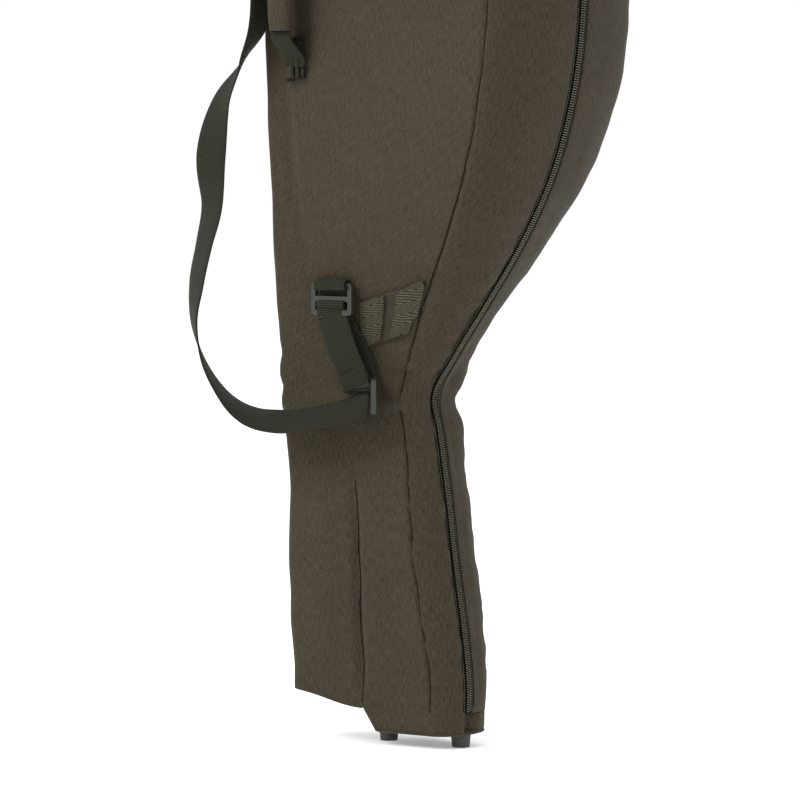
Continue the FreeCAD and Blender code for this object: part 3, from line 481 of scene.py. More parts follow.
# %% Grid meshes
def grid_faces(rows, columns, start, flip):
    index = np.arange(rows * columns).reshape(rows, columns) + start
    a, b = index[:-1, :-1].ravel(), index[:-1, 1:].ravel()
    c, d = index[1:, 1:].ravel(), index[1:, :-1].ravel()
    return np.stack([a, d, c, b] if flip else [a, b, c, d], axis=1)


def cloth_map(points):
    """Arc length across, from the last column, and up, in metres, for points in mm."""
    steps = np.linalg.norm(np.diff(points, axis=1), axis=2)
    across = np.concatenate([np.zeros((len(points), 1)), np.cumsum(steps, axis=1)], axis=1)
    across = across - across[:, -1:]
    ups = np.linalg.norm(np.diff(points, axis=0), axis=2).mean(axis=1)
    up = np.concatenate([[0], np.cumsum(ups)])
    return np.stack([across, np.broadcast_to(up[:, None], across.shape)], axis=2) / 1000


def write_map(mesh, maps):
    """Give every face corner its point's place on the cloth."""
    order = np.zeros(len(mesh.loops), dtype=int)
    mesh.loops.foreach_get("vertex_index", order)
    layer = mesh.uv_layers.get("cloth") or mesh.uv_layers.new(name="cloth")
    layer.data.foreach_set("uv", maps.reshape(-1, 2)[order].ravel())


def cloth_mesh(name, grids, material, flip=False):
    """grids is a list of arrays (rows, columns, 3) in millimetres."""
    points, faces, maps = [], [], []
    start = 0
    for grid in grids:
        rows, columns = grid.shape[:2]
        points.append(grid.reshape(-1, 3))
        maps.append(cloth_map(grid).reshape(-1, 2))
        faces.append(grid_faces(rows, columns, start, flip))
        start += rows * columns
    mesh = bpy.data.meshes.new(name)
    mesh.from_pydata(place_all(np.concatenate(points)).tolist(), [],
                     np.concatenate(faces).tolist())
    write_map(mesh, np.concatenate(maps))
    mesh.materials.append(material)
    mesh.shade_smooth()
    piece = linked(name, mesh)
    merge_doubles(piece)
    return piece


def linked(name, data):
    """A new object in the scene, at the origin."""
    piece = bpy.data.objects.new(name, data)
    bpy.context.collection.objects.link(piece)
    return piece


def edit(piece, change):
    """Open a piece's mesh, change it and write it back."""
    shape = bmesh.new()
    shape.from_mesh(piece.data)
    change(shape)
    shape.to_mesh(piece.data)
    shape.free()


def merge_doubles(piece):
    edit(piece, lambda shape: bmesh.ops.remove_doubles(shape, verts=shape.verts, dist=0.00002))


def face_outwards(piece):
    edit(piece, lambda shape: bmesh.ops.recalc_face_normals(shape, faces=shape.faces))


def close_ends(piece):
    """Fill the open rims of a swept grid, and turn its faces outwards."""
    def fill(shape):
        rims = [edge for edge in shape.edges if edge.is_boundary]
        bmesh.ops.holes_fill(shape, edges=rims, sides=0)
    edit(piece, fill)
    face_outwards(piece)


def settle(piece):
    """Apply every modifier, leaving a plain mesh at the origin."""
    graph = bpy.context.evaluated_depsgraph_get()
    made = bpy.data.meshes.new_from_object(piece.evaluated_get(graph))
    piece.modifiers.clear()
    piece.data = made
    return piece


PADDED = 8.0
LEAST_PADDING = 3.0


def tuck_inside(piece, outer_count, least):
    """In a tight bend the inner skin crosses the outer one: draw it back underneath."""
    points = [vertex.co.copy() for vertex in piece.data.vertices]
    outer = [tuple(face.vertices) for face in piece.data.polygons
             if max(face.vertices) < outer_count]
    skin = BVHTree.FromPolygons(points, outer)
    moved = 0
    for vertex in piece.data.vertices[outer_count:]:
        spot, normal = skin.find_nearest(vertex.co)[:2]
        if (vertex.co - spot).dot(normal) > -least:
            vertex.co = spot - normal * least
            moved += 1
    piece.data.update()
    print(piece.name, "inner points tucked in:", moved, "of", outer_count)


def thicken(piece, thickness, inside):
    """Give a sheet its padding, inwards, with another finish on the inside."""
    piece.data.materials.append(inside)
    wall = piece.modifiers.new("padding", "SOLIDIFY")
    wall.thickness = thickness / 1000
    wall.offset = -1
    wall.use_quality_normals = True
    wall.material_offset = 1
    wall.material_offset_rim = 0
    outer_count = len(piece.data.vertices)
    settle(piece)
    tuck_inside(piece, outer_count, LEAST_PADDING / 1000)


def rows_of(strip, z):
    """A strip's x and y with its heights, as a grid of points."""
    xs, ys = strip
    return np.stack([xs, ys, np.broadcast_to(z[:, None], xs.shape)], axis=2)


# %% [markdown]
# ## The front cloth, pocket and gusset
# The front of the sleeve is one padded layer: the side pocket, the face over the rod
# tube and the gusset that turns round to the zip.  Cloth over foam shows three kinds of
# relief: a slow swell, folds where the outline pinches in at the waist, and small
# puckers that start at a seam and die away.  They are pressed into the grid along its
# own normals, so seams stay where they were sewn.

# %% Relief of sewn cloth
def swell(points, scale, seed):
    """Smooth noise at every grid point; scale is in millimetres."""
    flat = points.reshape(-1, 3) / scale
    values = [noise.noise(Vector((x + seed, y, z))) for x, y, z in flat]
    return np.array(values).reshape(points.shape[:2])


def bell(value, middle, width):
    return np.exp(-((value - middle) / width) ** 2)


def grid_normals(points, outward):
    across = np.gradient(points, axis=1)
    up = np.gradient(points, axis=0)
    normals = np.cross(across, up)
    normals /= np.linalg.norm(normals, axis=2, keepdims=True) + 1e-9
    return normals * outward


def gusset_share(points, side):
    """0 at the belly seam, 1 at the zip, negative on the face."""
    x, y, z = points[..., 0], points[..., 1], points[..., 2]
    heights = z[:, :1]
    edge = belly(heights) - setback(heights)
    turned = np.degrees(np.arctan2((x - edge) / setback(heights), side * y / depth(heights)))
    return np.where(x < edge, (x - edge) / 60, turned / 90)


def relief(points, side):
    z = points[..., 2]
    share = gusset_share(points, side)
    slow = 1.8 * swell(points, 70, 3.0) + 0.8 * swell(points, 31, 9.0)
    waist = bell(z, 336, 34)
    slanting = points * np.array([0.35, 0.35, 1.0])
    slanting = slanting + points[..., :1] * np.array([0, 0, 0.28])
    folds = waist * 5.6 * swell(slanting, 15, 21.0)
    near_seam = np.maximum(bell(share, 0.05, 0.32), bell(share, 0.98, 0.38))
    stretched = points * np.array([0.22, 0.22, 1.0])
    puckers = near_seam * 3.4 * swell(stretched, 13, 40.0) * ramp(-z, -620, -420)
    soft = near_seam * 1.6 * swell(stretched, 21, 44.0)
    groove = -1.9 * bell(share, 0.0, 0.036) - 0.7 * bell(share, 0.84, 0.05)
    held = 1 - bell(share, 1.0, 0.15)
    calm = held * ramp(z, 34, 70) * ramp(-z, -1870, -1800)
    joint = 1 - bell(z, pocket_top, 16)
    return (slow + folds + puckers + soft + groove) * calm * joint


# %% Side pocket relief and its slanting hem
HEM_AT_SEAM = 33.0
HEM_AT_SPINE = 46.0


def pocket_relief(points):
    x, y, z = points[..., 0], points[..., 1], points[..., 2]
    front = ramp(-y, -10, 40)
    crease = -6.0 * bell(x, tube_edge(z), 5) * ramp(-z, -300, -180) * front
    fold_line = np.interp(z, [437, 513, 665, 760], [50, 36, 28, 26])
    fold = -4.2 * bell(x, fold_line, 8) * bell(z, 560, 120) * front
    belly_of_tube = 2.2 * bell(x, 45, 26) * ramp(-z, -520, -300) * front
    return (crease + fold + belly_of_tube) * ramp(z, 34, 80)


def hem_height(x):
    """The pocket's hem rises from its seam towards the spine."""
    return HEM_AT_SEAM + (HEM_AT_SPINE - HEM_AT_SEAM) * ramp(88 - x, 0, 88)


def slant_hem(points):
    x, z = points[..., 0], points[..., 2]
    points[..., 2] = z + (hem_height(x) - HEM_AT_SEAM) * (1 - ramp(z, HEM_ROW, 130))
    return points


both_rows = ROWS[(ROWS >= HEM_ROW) & (ROWS <= pocket_top)]
foot_rows = ROWS[ROWS <= HEM_ROW]
top_rows = ROWS[ROWS >= pocket_top]



def hold_edges(pressed, columns):
    """Sewn edges stay put: relief grows over the first columns and stops at the last."""
    pressed[:, :columns] *= np.linspace(0, 1, columns)
    pressed[:, -1] = 0
    return pressed[..., None]


wide = rows_of(stack([without_last(pocket_round(both_rows)), main_front(both_rows)]), both_rows)
wide += grid_normals(wide, 1) * hold_edges(relief(wide, -1) + pocket_relief(wide), 12)
wide = slant_hem(wide)
foot_part = rows_of(main_front(foot_rows), foot_rows)
top_part = rows_of(stack([without_last(upper_wall(top_rows)), main_front(top_rows)]), top_rows)
top_part += grid_normals(top_part, 1) * hold_edges(relief(top_part, -1), 6)
print("pocket and front grid:", wide.shape[:2])

# %% Front cloth as one padded piece
front_cloth = cloth_mesh("front_cloth", [foot_part, wide, top_part], canvas)
thicken(front_cloth, PADDED, lining)
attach(front_cloth, "sleeve")
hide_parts("front_panel_outer", "front_panel_foam_lower", "front_panel_foam_reel",
            "front_panel_foam_upper", "front_panel_lining", "pocket_outer", "pocket_foam",
            "pocket_lining")
print("front cloth:", len(front_cloth.data.polygons), "faces")

# %% [markdown]
# ## The rear cover
# The back half opens like a door along the edge beside the pocket.  It is made in two
# stretches: the lower one is left in place, and only the upper one is fastened to the
# cover.

# %% Rear cover cloth
COVER_JOIN = 1000.0


def cover_part(name, rows, start):
    grid = rows_of(rear_side(rows), rows)
    pressed = relief(grid, 1)
    pressed *= (1 - bell(rows, COVER_JOIN, 12))[:, None]
    grid = grid - grid_normals(grid, 1) * hold_edges(pressed, 3)
    piece = cloth_mesh(name, [grid], canvas, flip=True)
    thicken(piece, PADDED, lining)
    if start is None:
        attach(piece, "rear_cover")
    else:
        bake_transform(piece)
    return piece


cover_rows = np.unique(np.concatenate([[32.8], ROWS[ROWS > 36], [COVER_JOIN]]))
cover_rows = np.minimum(cover_rows, zip_end - 0.6)
LOW_START = tuple(place(100, 60, 45))
cover_low = cover_part("rear_cover_lower_cloth", cover_rows[cover_rows <= COVER_JOIN],
                       LOW_START)
cover_high = cover_part("rear_cover_upper_cloth", cover_rows[cover_rows >= COVER_JOIN],
                        None)
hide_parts("rear_cover_outer", "rear_cover_foam_lower", "rear_cover_foam_reel",
            "rear_cover_lining")
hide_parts("rear_cover_foam_upper")
print("rear cover:", len(cover_low.data.polygons) + len(cover_high.data.polygons), "faces")

# %% [markdown]
# ## Stitches, painted seam shade and zip teeth
# Each is one small shape repeated along a line that lies on the cloth.  A line is kept
# Both are one small shape repeated along a line that lies on the cloth.  A line is kept
# as a chain of points with the way outwards stored on each, and one Geometry Nodes tree
# walks along it, turns each copy to the cloth and scales it.

# %% A tree that repeats a bead along a line
def repeat_tree(name, sides, rings):
    """Walk a line, stand a small sphere on each step, stretch it and turn it outwards."""
    tree = bpy.data.node_groups.new(name, "GeometryNodeTree")
    inputs = {"Line": "Geometry", "Spacing": "Float", "Size": "Vector", "Unevenness": "Float",
              "Finish": "Material"}
    for label, kind in inputs.items():
        tree.interface.new_socket(label, in_out="INPUT", socket_type="NodeSocket" + kind)
    tree.interface.new_socket("Beads", in_out="OUTPUT", socket_type="NodeSocketGeometry")

    def add(kind, **settings):
        node = tree.nodes.new(kind)
        for key, value in settings.items():
            setattr(node, key, value)
        return node

    given = add("NodeGroupInput")
    result = add("NodeGroupOutput")
    curve = add("GeometryNodeMeshToCurve")
    walk = add("GeometryNodeCurveToPoints", mode="LENGTH")
    out = add("GeometryNodeInputNamedAttribute", data_type="FLOAT_VECTOR")
    out.inputs["Name"].default_value = "outward"
    stand = add("FunctionNodeAlignRotationToVector", axis="Z")
    along = add("FunctionNodeAlignRotationToVector", axis="X", pivot_axis="Z")
    bead = add("GeometryNodeMeshUVSphere")
    bead.inputs["Segments"].default_value = sides
    bead.inputs["Rings"].default_value = rings
    bead.inputs["Radius"].default_value = 0.5
    wobble = add("FunctionNodeRandomValue", data_type="FLOAT_VECTOR")
    wobble.inputs["Seed"].default_value = 7
    least = add("ShaderNodeMath", operation="SUBTRACT")
    least.inputs[0].default_value = 1.0
    most = add("ShaderNodeMath", operation="ADD")
    most.inputs[0].default_value = 1.0
    scale = add("ShaderNodeVectorMath", operation="MULTIPLY")
    copies = add("GeometryNodeInstanceOnPoints")
    real = add("GeometryNodeRealizeInstances")
    finish = add("GeometryNodeSetMaterial")
    links = [
        (given, "Line", curve, "Mesh"), (curve, "Curve", walk, "Curve"),
        (given, "Spacing", walk, "Length"), (walk, "Points", copies, "Points"),
        (bead, "Mesh", copies, "Instance"), (out, "Attribute", stand, "Vector"),
        (stand, "Rotation", along, "Rotation"), (walk, "Tangent", along, "Vector"),
        (along, "Rotation", copies, "Rotation"), (given, "Unevenness", least, 1),
        (given, "Unevenness", most, 1), (least, 0, wobble, "Min"), (most, 0, wobble, "Max"),
        (wobble, "Value", scale, 0), (given, "Size", scale, 1), (scale, 0, copies, "Scale"),
        (copies, "Instances", real, "Geometry"), (real, "Geometry", finish, "Geometry"),
        (given, "Finish", finish, "Material"), (finish, "Geometry", result, "Beads"),
    ]
    for source, output, target, socket in links:
        tree.links.new(source.outputs[output], target.inputs[socket])
    return tree


bead_tree = repeat_tree("beads_along_a_line", 6, 4)


def beads(name, lines, spacing, bead_size, finish, unevenness=0.0):
    """lines is a list of (points, outward) arrays in millimetres on the sleeve."""
    points, edges, outward = [], [], []
    for line, ways in lines:
        start = len(points)
        points.extend(place_all(line).tolist())
        outward.extend(np.asarray(ways, float).ravel().tolist())
        edges.extend((start + step, start + step + 1) for step in range(len(line) - 1))
    mesh = bpy.data.meshes.new(name)
    mesh.from_pydata(points, edges, [])
    layer = mesh.attributes.new("outward", "FLOAT_VECTOR", "POINT")
    layer.data.foreach_set("vector", outward)
    piece = linked(name, mesh)
    modifier = piece.modifiers.new("repeat", "NODES")
    modifier.node_group = bead_tree
    values = {"Spacing": spacing / 1000, "Unevenness": unevenness, "Finish": finish,
              "Size": [part / 1000 for part in bead_size]}
    for socket in bead_tree.interface.items_tree:
        if socket.in_out == "INPUT" and socket.name in values:
            modifier[socket.identifier] = values[socket.name]
    settle(piece)
    piece.data.shade_smooth()
    return piece


print("bead tree nodes:", len(bead_tree.nodes))

# %% Lines that lie on the cloth
def skin_of(piece):
    corners = [vertex.co.copy() for vertex in piece.data.vertices]
    faces = [tuple(face.vertices) for face in piece.data.polygons]
    return BVHTree.FromPolygons(corners, faces)


front_skin = skin_of(front_cloth)


def eased(points):
    """Average every point with its two neighbours on each side; the ends stay."""
    padded = np.concatenate([points[:1], points[:1], points, points[-1:], points[-1:]])
    mixed = sum(padded[step:step + len(points)] for step in range(5)) / 5
    mixed[0] = points[0]
    mixed[-1] = points[-1]
    return mixed


def lie_on(skin, points, lift):
    """Drop points on the cloth; gives the points and the cloth's outward ways."""
    found, ways = [], []
    for x, y, z in np.asarray(points, float):
        spot, normal = skin.find_nearest(place(x, y, z))[:2]
        found.append(spot + normal * lift / 1000)
        ways.append(normal)
    return eased(on_sleeve(np.array(found))), eased(np.array(ways))


def seam_beside_zip(heights, inset, side):
    """Points on the gusset, a given distance in from the middle of the zip."""
    share = 1.0 if side < 0 else REAR_SHARE
    d = depth(heights) * share
    turned = np.sin(np.arccos(inset / d))
    x = belly(heights) - setback(heights) + setback(heights) * turned
    return np.stack([x, side * inset + zip_lean(heights) * turned ** 3, heights], axis=1)


SEAM_STEP = 6.0
SEAM_END = 1872
SEAM_SPACING = 3.0
SEAM_BEAD = (3.3, 1.1, 0.9)
EDGE_INSET = 7.2
seam_heights = np.arange(36, SEAM_END, SEAM_STEP)
edge_row = lie_on(front_skin, seam_beside_zip(seam_heights, EDGE_INSET, -1), 0.3)
hem_x = np.linspace(14, 84, 30)
hem_z = hem_height(hem_x) + 7
hem_line = np.stack([hem_x, -face_depth(hem_x, hem_z) - 3, hem_z], axis=1)
hem_row = lie_on(front_skin, hem_line, 0.35)
belly_seam = np.stack([belly(seam_heights) - setback(seam_heights), -depth(seam_heights) - 1,
                       seam_heights], axis=1)
tube_heights = np.arange(40, 252, 5.0)
tube_x = tube_edge(tube_heights)
tube_seam = np.stack([tube_x, 4 - face_depth(tube_x, tube_heights), tube_heights], axis=1)
# These dark rows beside the zip, along the belly seam and along the pocket seam are painted shade
# of the seams and folded edges, drawn together with their stitches.
seam_and_shade_rows = [lie_on(front_skin, belly_seam, 0.45), lie_on(front_skin, tube_seam, 0.3), edge_row]
seam_line = beads("belly_seam_line_and_shade", seam_and_shade_rows, SEAM_SPACING, SEAM_BEAD, seam_thread_and_shade, 0.1)
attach(seam_line, "sleeve")
hem_stitches = beads("front_topstitch", [hem_row], 3.6, (2.9, 0.75, 0.5), thread, 0.12)
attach(hem_stitches, "sleeve")
# The dark rows beside the zip on the rear cover are painted shade of the folded edge, drawn with
# the stitches.
for label, cloth, low, high in (("lower", cover_low, 40, COVER_JOIN - 4),
                                ("upper", cover_high, COVER_JOIN + 4, SEAM_END)):
    heights = np.arange(low, high, SEAM_STEP)
    line = lie_on(skin_of(cloth), seam_beside_zip(heights, EDGE_INSET, 1), 0.3)
    row = beads("cover_seam_" + label, [line], SEAM_SPACING, SEAM_BEAD, seam_thread_and_shade, 0.1)
    if label == "lower":
        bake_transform(row)
    else:
        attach(row, "rear_cover")
print("seam and hem faces:", len(seam_line.data.polygons), len(hem_stitches.data.polygons))

# %% [markdown]
# ## The zip
# A coil zip is a nylon helix sewn to a woven tape.  From outside only the crowns of the
# coils show, two rows meeting in the middle, set a little below the cloth.  A crown is a
# small bead across the zip, repeated every couple of millimetres on each half.

# %% Bands of webbing and tape
SECTION = [(-0.5, -0.25), (-0.475, -0.5), (-0.24, -0.5), (0, -0.5), (0.24, -0.5), (0.475, -0.5),
           (0.5, -0.25), (0.5, 0.25), (0.475, 0.5), (0.24, 0.5), (0, 0.5), (-0.24, 0.5),
           (-0.475, 0.5), (-0.5, 0.25)]


def band(name, centre, side, width, thickness, material):
    """A flat strip along centre (millimetres); side is the way of its width."""
    centre = np.asarray(centre, float)
    side = np.broadcast_to(np.asarray(side, float), centre.shape).copy()
    along = np.gradient(centre, axis=0)
    along /= np.linalg.norm(along, axis=1, keepdims=True)
    side -= along * (side * along).sum(axis=1, keepdims=True)
    side /= np.linalg.norm(side, axis=1, keepdims=True)
    normal = np.cross(along, side)
    rings = []
    for share, rise in SECTION:
        rings.append(centre + side * share * width + normal * rise * thickness)
    grid = np.stack(rings, axis=1)
    rows, columns = grid.shape[:2]
    length = np.concatenate([[0], np.cumsum(np.linalg.norm(np.diff(centre, axis=0), axis=1))])
    mesh = bpy.data.meshes.new(name)
    index = np.arange(rows * columns).reshape(rows, columns)
    nxt = np.roll(index, -1, axis=1)
    faces = np.stack([index[:-1], nxt[:-1], nxt[1:], index[1:]], axis=2).reshape(-1, 4).tolist()
    faces.append(index[0][::-1].tolist())
    faces.append(index[-1].tolist())
    mesh.from_pydata(place_all(grid.reshape(-1, 3)).tolist(), [], faces)
    across = np.array([share for share, rise in SECTION]) * width / 1000
    write_map(mesh, np.stack(np.broadcast_arrays(length[:, None] / 1000, across), axis=2))
    mesh.materials.append(material)
    piece = linked(name, mesh)
    face_outwards(piece)
    mesh.shade_smooth()
    return piece


# %% Tapes and coils
def zip_line(heights, y, rise):
    slope = np.gradient(belly(heights), heights)
    out = np.stack([np.ones_like(slope), np.zeros_like(slope), -slope], axis=1)
    out /= np.linalg.norm(out, axis=1, keepdims=True)
    middle = np.stack([belly(heights), y + zip_lean(heights), heights], axis=1)
    return middle + out * rise, out


PITCH = 2.3
CROWN = (1.35, 3.3, 2.0)


def zip_half(label, side, low, high, fasten):
    heights = np.arange(low, high, 4.0)
    line = zip_line(heights, side * 4.0, -2.2)[0]
    tape = band("zip_tape_" + label, line, (0, 1, 0), 4.4, 1.0, tape_cloth)
    offset = 0 if side < 0 else PITCH / 2
    crowns = zip_line(np.arange(low + offset, high, 4.0), side * 1.65, 0.5)
    coil = beads("zip_coil_" + label, [crowns], PITCH, CROWN, coil_nylon)
    cord_line = zip_line(heights, side * 3.8, -0.8)
    edge_cord = beads("zip_cord_" + label, [cord_line], 1.15, (1.3, 1.0, 1.0), tape_cloth)
    for piece, slot in ((tape, "zip_tape"), (coil, "zip_coil"), (edge_cord, "zip_tape")):
        fasten(piece)
    return tape, coil


tape, coil = zip_half("front_half", -1, 35, zip_end - 1, lambda piece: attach(piece, "sleeve"))
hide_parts("zip_tape_front")
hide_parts("zip_coil_front")
tape, coil = zip_half("rear_half_lower", 1, 35, COVER_JOIN, lambda piece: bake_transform(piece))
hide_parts("zip_tape_rear")
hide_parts("zip_coil_rear")
zip_half("rear_half_upper", 1, COVER_JOIN, zip_end - 1,
         lambda piece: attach(piece, "rear_cover"))
print("coil faces:", len(coil.data.polygons))

# %% [markdown]
# ## Base and hood
# The tube stands in a stiff sewn base with the two feet under it, and ends in a closed
# hood.  Both are cups made of loops: the same closed outline at several heights, drawn
# in by a few millimetres where the cloth turns over.

# %% Loops and cups
CLOTH_FOOT = 14.5


def tube_loop(z):
    """The closed outline of the tube at one height, from the hinge round to the hinge."""
    heights = np.array([z], float)
    front_x, front_y = main_front(heights)
    rear_x, rear_y = rear_side(heights)
    side_y = np.linspace(rear_face, float(front_y[0, 0]), 12)[:-1]
    left = float(front_x[0, 0])
    side = np.stack([np.full_like(side_y, left), side_y], axis=1)
    front = np.stack([front_x[0], front_y[0]], axis=1)[::2]
    rear = np.stack([rear_x[0], rear_y[0]], axis=1)[::-1][::2]
    rear[-1:] = [left + 0.5, rear_face]
    return np.concatenate([side, front, rear])


def drawn_in(loop, distance):
    """A loop drawn inwards; far in, it shrinks to its middle, so it can't cross itself."""
    turn = np.roll(loop, -1, axis=0) - np.roll(loop, 1, axis=0)
    turn /= np.linalg.norm(turn, axis=1, keepdims=True)
    inward = np.stack([-turn[:, 1], turn[:, 0]], axis=1)
    middle = loop.mean(axis=0)
    blunt = loop + inward * distance
    ease = min(1.0, distance / 30)
    return blunt * (1 - ease) + (middle + (loop - middle) * (1 - distance / 60)) * ease


def cup(name, profile, material, under_front=0.0):
    """profile lists (height, drawn in, outline height) from inner to outer pole.

    under_front draws the front in at least so far, to pass under the front cloth."""
    rings = []
    for height, distance, outline in profile:
        loop = tube_loop(outline)
        moved = drawn_in(loop, distance)
        if under_front and height > CLOTH_FOOT:
            share = ramp(-loop[:, 1], -6, 2)[:, None]
            moved = moved * (1 - share) + drawn_in(loop, max(distance, under_front)) * share
        rings.append(np.concatenate([moved, np.full((len(moved), 1), height)], axis=1))
    grid = np.array(rings)
    grid = np.concatenate([grid, grid[:, :1]], axis=1)
    piece = cloth_mesh(name, [grid], material)
    close_ends(piece)
    piece.data.shade_smooth()
    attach(piece, "sleeve")
    return piece


base_cup = cup("base_cup", [
    (21, 24, 34), (20.5, 11, 34), (32.2, 10.5, 34), (32.3, 1.4, 34), (31, 0.4, 33), (24, 0.2, 24),
    (16, 0.2, 16), (15.2, 0.9, 15), (14.2, -0.2, 14), (13.2, -0.3, 13), (12.2, 0.8, 12),
    (11.6, 3.5, 12), (11.8, 12, 12), (11.9, 24, 12)], canvas, under_front=8.6)
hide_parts("base_outer", "base_foam")
hood_cup = cup("hood_cup", [
    (1940, 24, 1900), (1938, 14, 1900), (1925, 9.5, 1900), (1880.4, 9, 1890),
    (1880.4, 0.6, 1890), (1882, -0.5, 1890), (1884, -0.4, 1890), (1886, 0.6, 1890),
    (1900, 0.0, 1900), (1920, 0.6, 1900), (1934, 3.5, 1900), (1943, 8, 1900),
    (1948, 14, 1900), (1949.6, 24, 1900)], canvas)
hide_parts("hood_outer", "hood_foam", "hood_lining")
print("base and hood:", len(base_cup.data.polygons), len(hood_cup.data.polygons))

# %% [markdown]
# ## Shoulder strap and its fittings
# The strap is flat webbing that twists as it hangs, so its width turns from point to
# point.  A short list of places and turns is smoothed by a spline, and the webbing is
# swept along it.  Its ribs come from its map, so they stay square to the run.

# %% The strap's path
STRAP_POINTS = np.array([
    (44, -50, 1324, 0, 0),
    (42, -58, 1240, 0, 0),
    (37, -71, 1100, 4, 0),
    (29, -86, 960, 16, 0),
    (23, -101, 830, 50, 0),
    (20, -104, 703, 93, 0),
    (-9, -101, 648, 130, 0),
    (-38, -99, 608, 158, 0),
    (-53, -97, 560, 178, 0),
    (-52, -97, 513, 163, 0),
    (-63, -96, 475, 155, 0),
    (-74, -95, 437, 152, 0),
    (-78, -94, 399, 140, 0),
    (-66, -92, 360, 130, 7),
    (-42, -90, 330, 130, 15),
    (-11, -88, 312, 130, 23),
    (25, -85, 307, 130, 27),
    (62, -82, 311, 130, 27),
    (94, -78, 318, 130, 31),
    (124, -72, 328, 130, 46),
], float)
STRAP_WIDTH = 38.0
WEBBING = 1.9


def smooth(table, steps):
    """A Catmull-Rom spline through every row of a table, with the same number of steps between
    rows.
    """
    ends = np.concatenate([2 * table[:1] - table[1:2], table, 2 * table[-1:] - table[-2:-1]])
    t = (np.arange(steps) / steps)[:, None]
    parts = []
    for a, b, c, d in zip(ends, ends[1:], ends[2:], ends[3:]):
        parts.append(0.5 * (2 * b + (c - a) * t + (2 * a - 5 * b + 4 * c - d) * t ** 2
                            + (3 * b - a - 3 * c + d) * t ** 3))
    parts.append(table[-1:])
    return np.concatenate(parts)


def width_way(turn, lift):
    turn, lift = np.radians(turn), np.radians(lift)
    flat = np.cos(lift)
    return np.stack([np.cos(turn) * flat, np.sin(turn) * flat, np.sin(lift)], axis=1)


strap_run = smooth(STRAP_POINTS, 14)
strap_side = width_way(strap_run[:, 3], strap_run[:, 4])
strap = band("shoulder_strap_webbing", strap_run[:, :3], strap_side, STRAP_WIDTH, WEBBING, webbing)
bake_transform(strap)
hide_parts("shoulder_strap")

# %% [markdown]
# The strap ends in two layers sewn together: it runs down from the ring, passes the
# adjuster and folds back.  The ring itself hangs in a short loop of webbing that comes
# out from under a sewn band.

# %% Doubled strap tail
TAIL_WIDTH = 33.0
LAYER_OFFSET = 1.9     # each layer's distance from the middle of the doubled tail
BAR_DROP = 21.0        # from the ring's top to the bar that the tail turns over
TAIL_DROP = 29.5       # from the ring's top to where the two layers start down
HOOK = 4.1             # radius of the turn over the bar
ring_low, ring_high = corners_of("strap_ring")
ring_x, ring_y = ((ring_low + ring_high) / 2)[:2]
ring_top = ring_high[2]
tail_down = np.array([30.0, 8.0, -72.0])
tail_down /= np.linalg.norm(tail_down)
tail_start = np.array([ring_x, ring_y, ring_top - TAIL_DROP])


def tail_path(offset, bow, length, rise):
    """One layer: down from the ring's lower bar, bowed away from the other layer."""
    t = np.linspace(0, 1, 22)[:, None]
    line = tail_start + np.array([0, offset, 0]) + tail_down * length * t
    line = line + np.array([0, bow, 0]) * np.sin(np.pi * t) ** 1.2
    hook = tail_start + np.array([[0, offset, rise]])
    return np.concatenate([hook, line])


FRONT_LENGTH = 76
BACK_LENGTH = 78
front_tail = band("strap_tail_front_layer", tail_path(-LAYER_OFFSET, -3.5, FRONT_LENGTH, 9),
                  (1, 0.06, 0), TAIL_WIDTH, WEBBING, webbing)
back_tail = band("strap_tail_back_layer", tail_path(LAYER_OFFSET, 5.5, BACK_LENGTH, 9),
                 (1, 0.22, 0), TAIL_WIDTH, WEBBING, webbing)
angle = np.linspace(0, np.pi, 10)
fold = LAYER_OFFSET * np.stack([np.zeros(10), np.cos(angle) - 2, -np.sin(angle)], axis=1)
hem_end = tail_start + tail_down * FRONT_LENGTH + fold
hem_back = hem_end[-1] - tail_down * np.linspace(1, 17, 8)[:, None] + np.array([0, -0.3, 0])
folded = band("strap_tail_folded_end", np.concatenate([hem_end, hem_back]), (1, 0.06, 0),
              TAIL_WIDTH, WEBBING, webbing)
over = np.linspace(-1.0, np.pi + 1.0, 14)
bar_wrap = np.stack([np.full(14, ring_x), ring_y - HOOK * np.cos(over),
                     ring_top - BAR_DROP + HOOK * np.sin(over)], axis=1)
wrap = band("strap_tail_bar_wrap", bar_wrap, (1, 0, 0), TAIL_WIDTH, WEBBING, webbing)
for piece in (front_tail, back_tail, folded, wrap):
    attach(piece, "strap_end")
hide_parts("strap_tail_front")
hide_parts("strap_tail_back")
print("tail starts at height %.0f mm" % tail_start[2])


# %% Loops that hold the rings
RING_BAR = 5.0
LOOP_TURN = 5.2


def ring_loop(name, node, replaced):
    """Webbing over a ring's top bar, with both legs down to the panel."""
    low, high = corners_of(node)
    middle_x, middle_y = (low[0] + high[0]) / 2, (low[1] + high[1]) / 2
    bar = high[2] - RING_BAR / 2
    angle = np.linspace(0, np.pi, 13)
    arch = np.stack([np.full(13, middle_x), middle_y + LOOP_TURN * np.cos(angle),
                     bar + LOOP_TURN * np.sin(angle)], axis=1)
    drop = np.linspace(14, 1.5, 6)[:, None]
    back = arch[:1] - np.array([0, 0, 1.0]) * drop
    front = arch[-1:] - np.array([0, -0.12, 1.0]) * np.linspace(1, 4.5, 4)[:, None]
    run = np.concatenate([back, arch, front])
    loop = band(name, run, (1, 0, 0), STRAP_WIDTH, WEBBING, webbing)
    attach(loop, "sleeve")
    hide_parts(replaced)
    return middle_x, middle_y, bar


lower_place = ring_loop("ring_loop_lower", "strap_ring", "anchor_loop_lower")
ring_loop("ring_loop_upper", "upper_ring", "anchor_loop_upper")
print("lower ring at x %.0f, y %.0f, z %.0f" % lower_place)


# %% [markdown]
# ## Patches sewn flat on the cloth
# The anchor band, the handle tabs and the pocket binding lie on the panels.  Each is a
# grid dropped on the cloth and lifted by half its thickness, so it follows the swell.

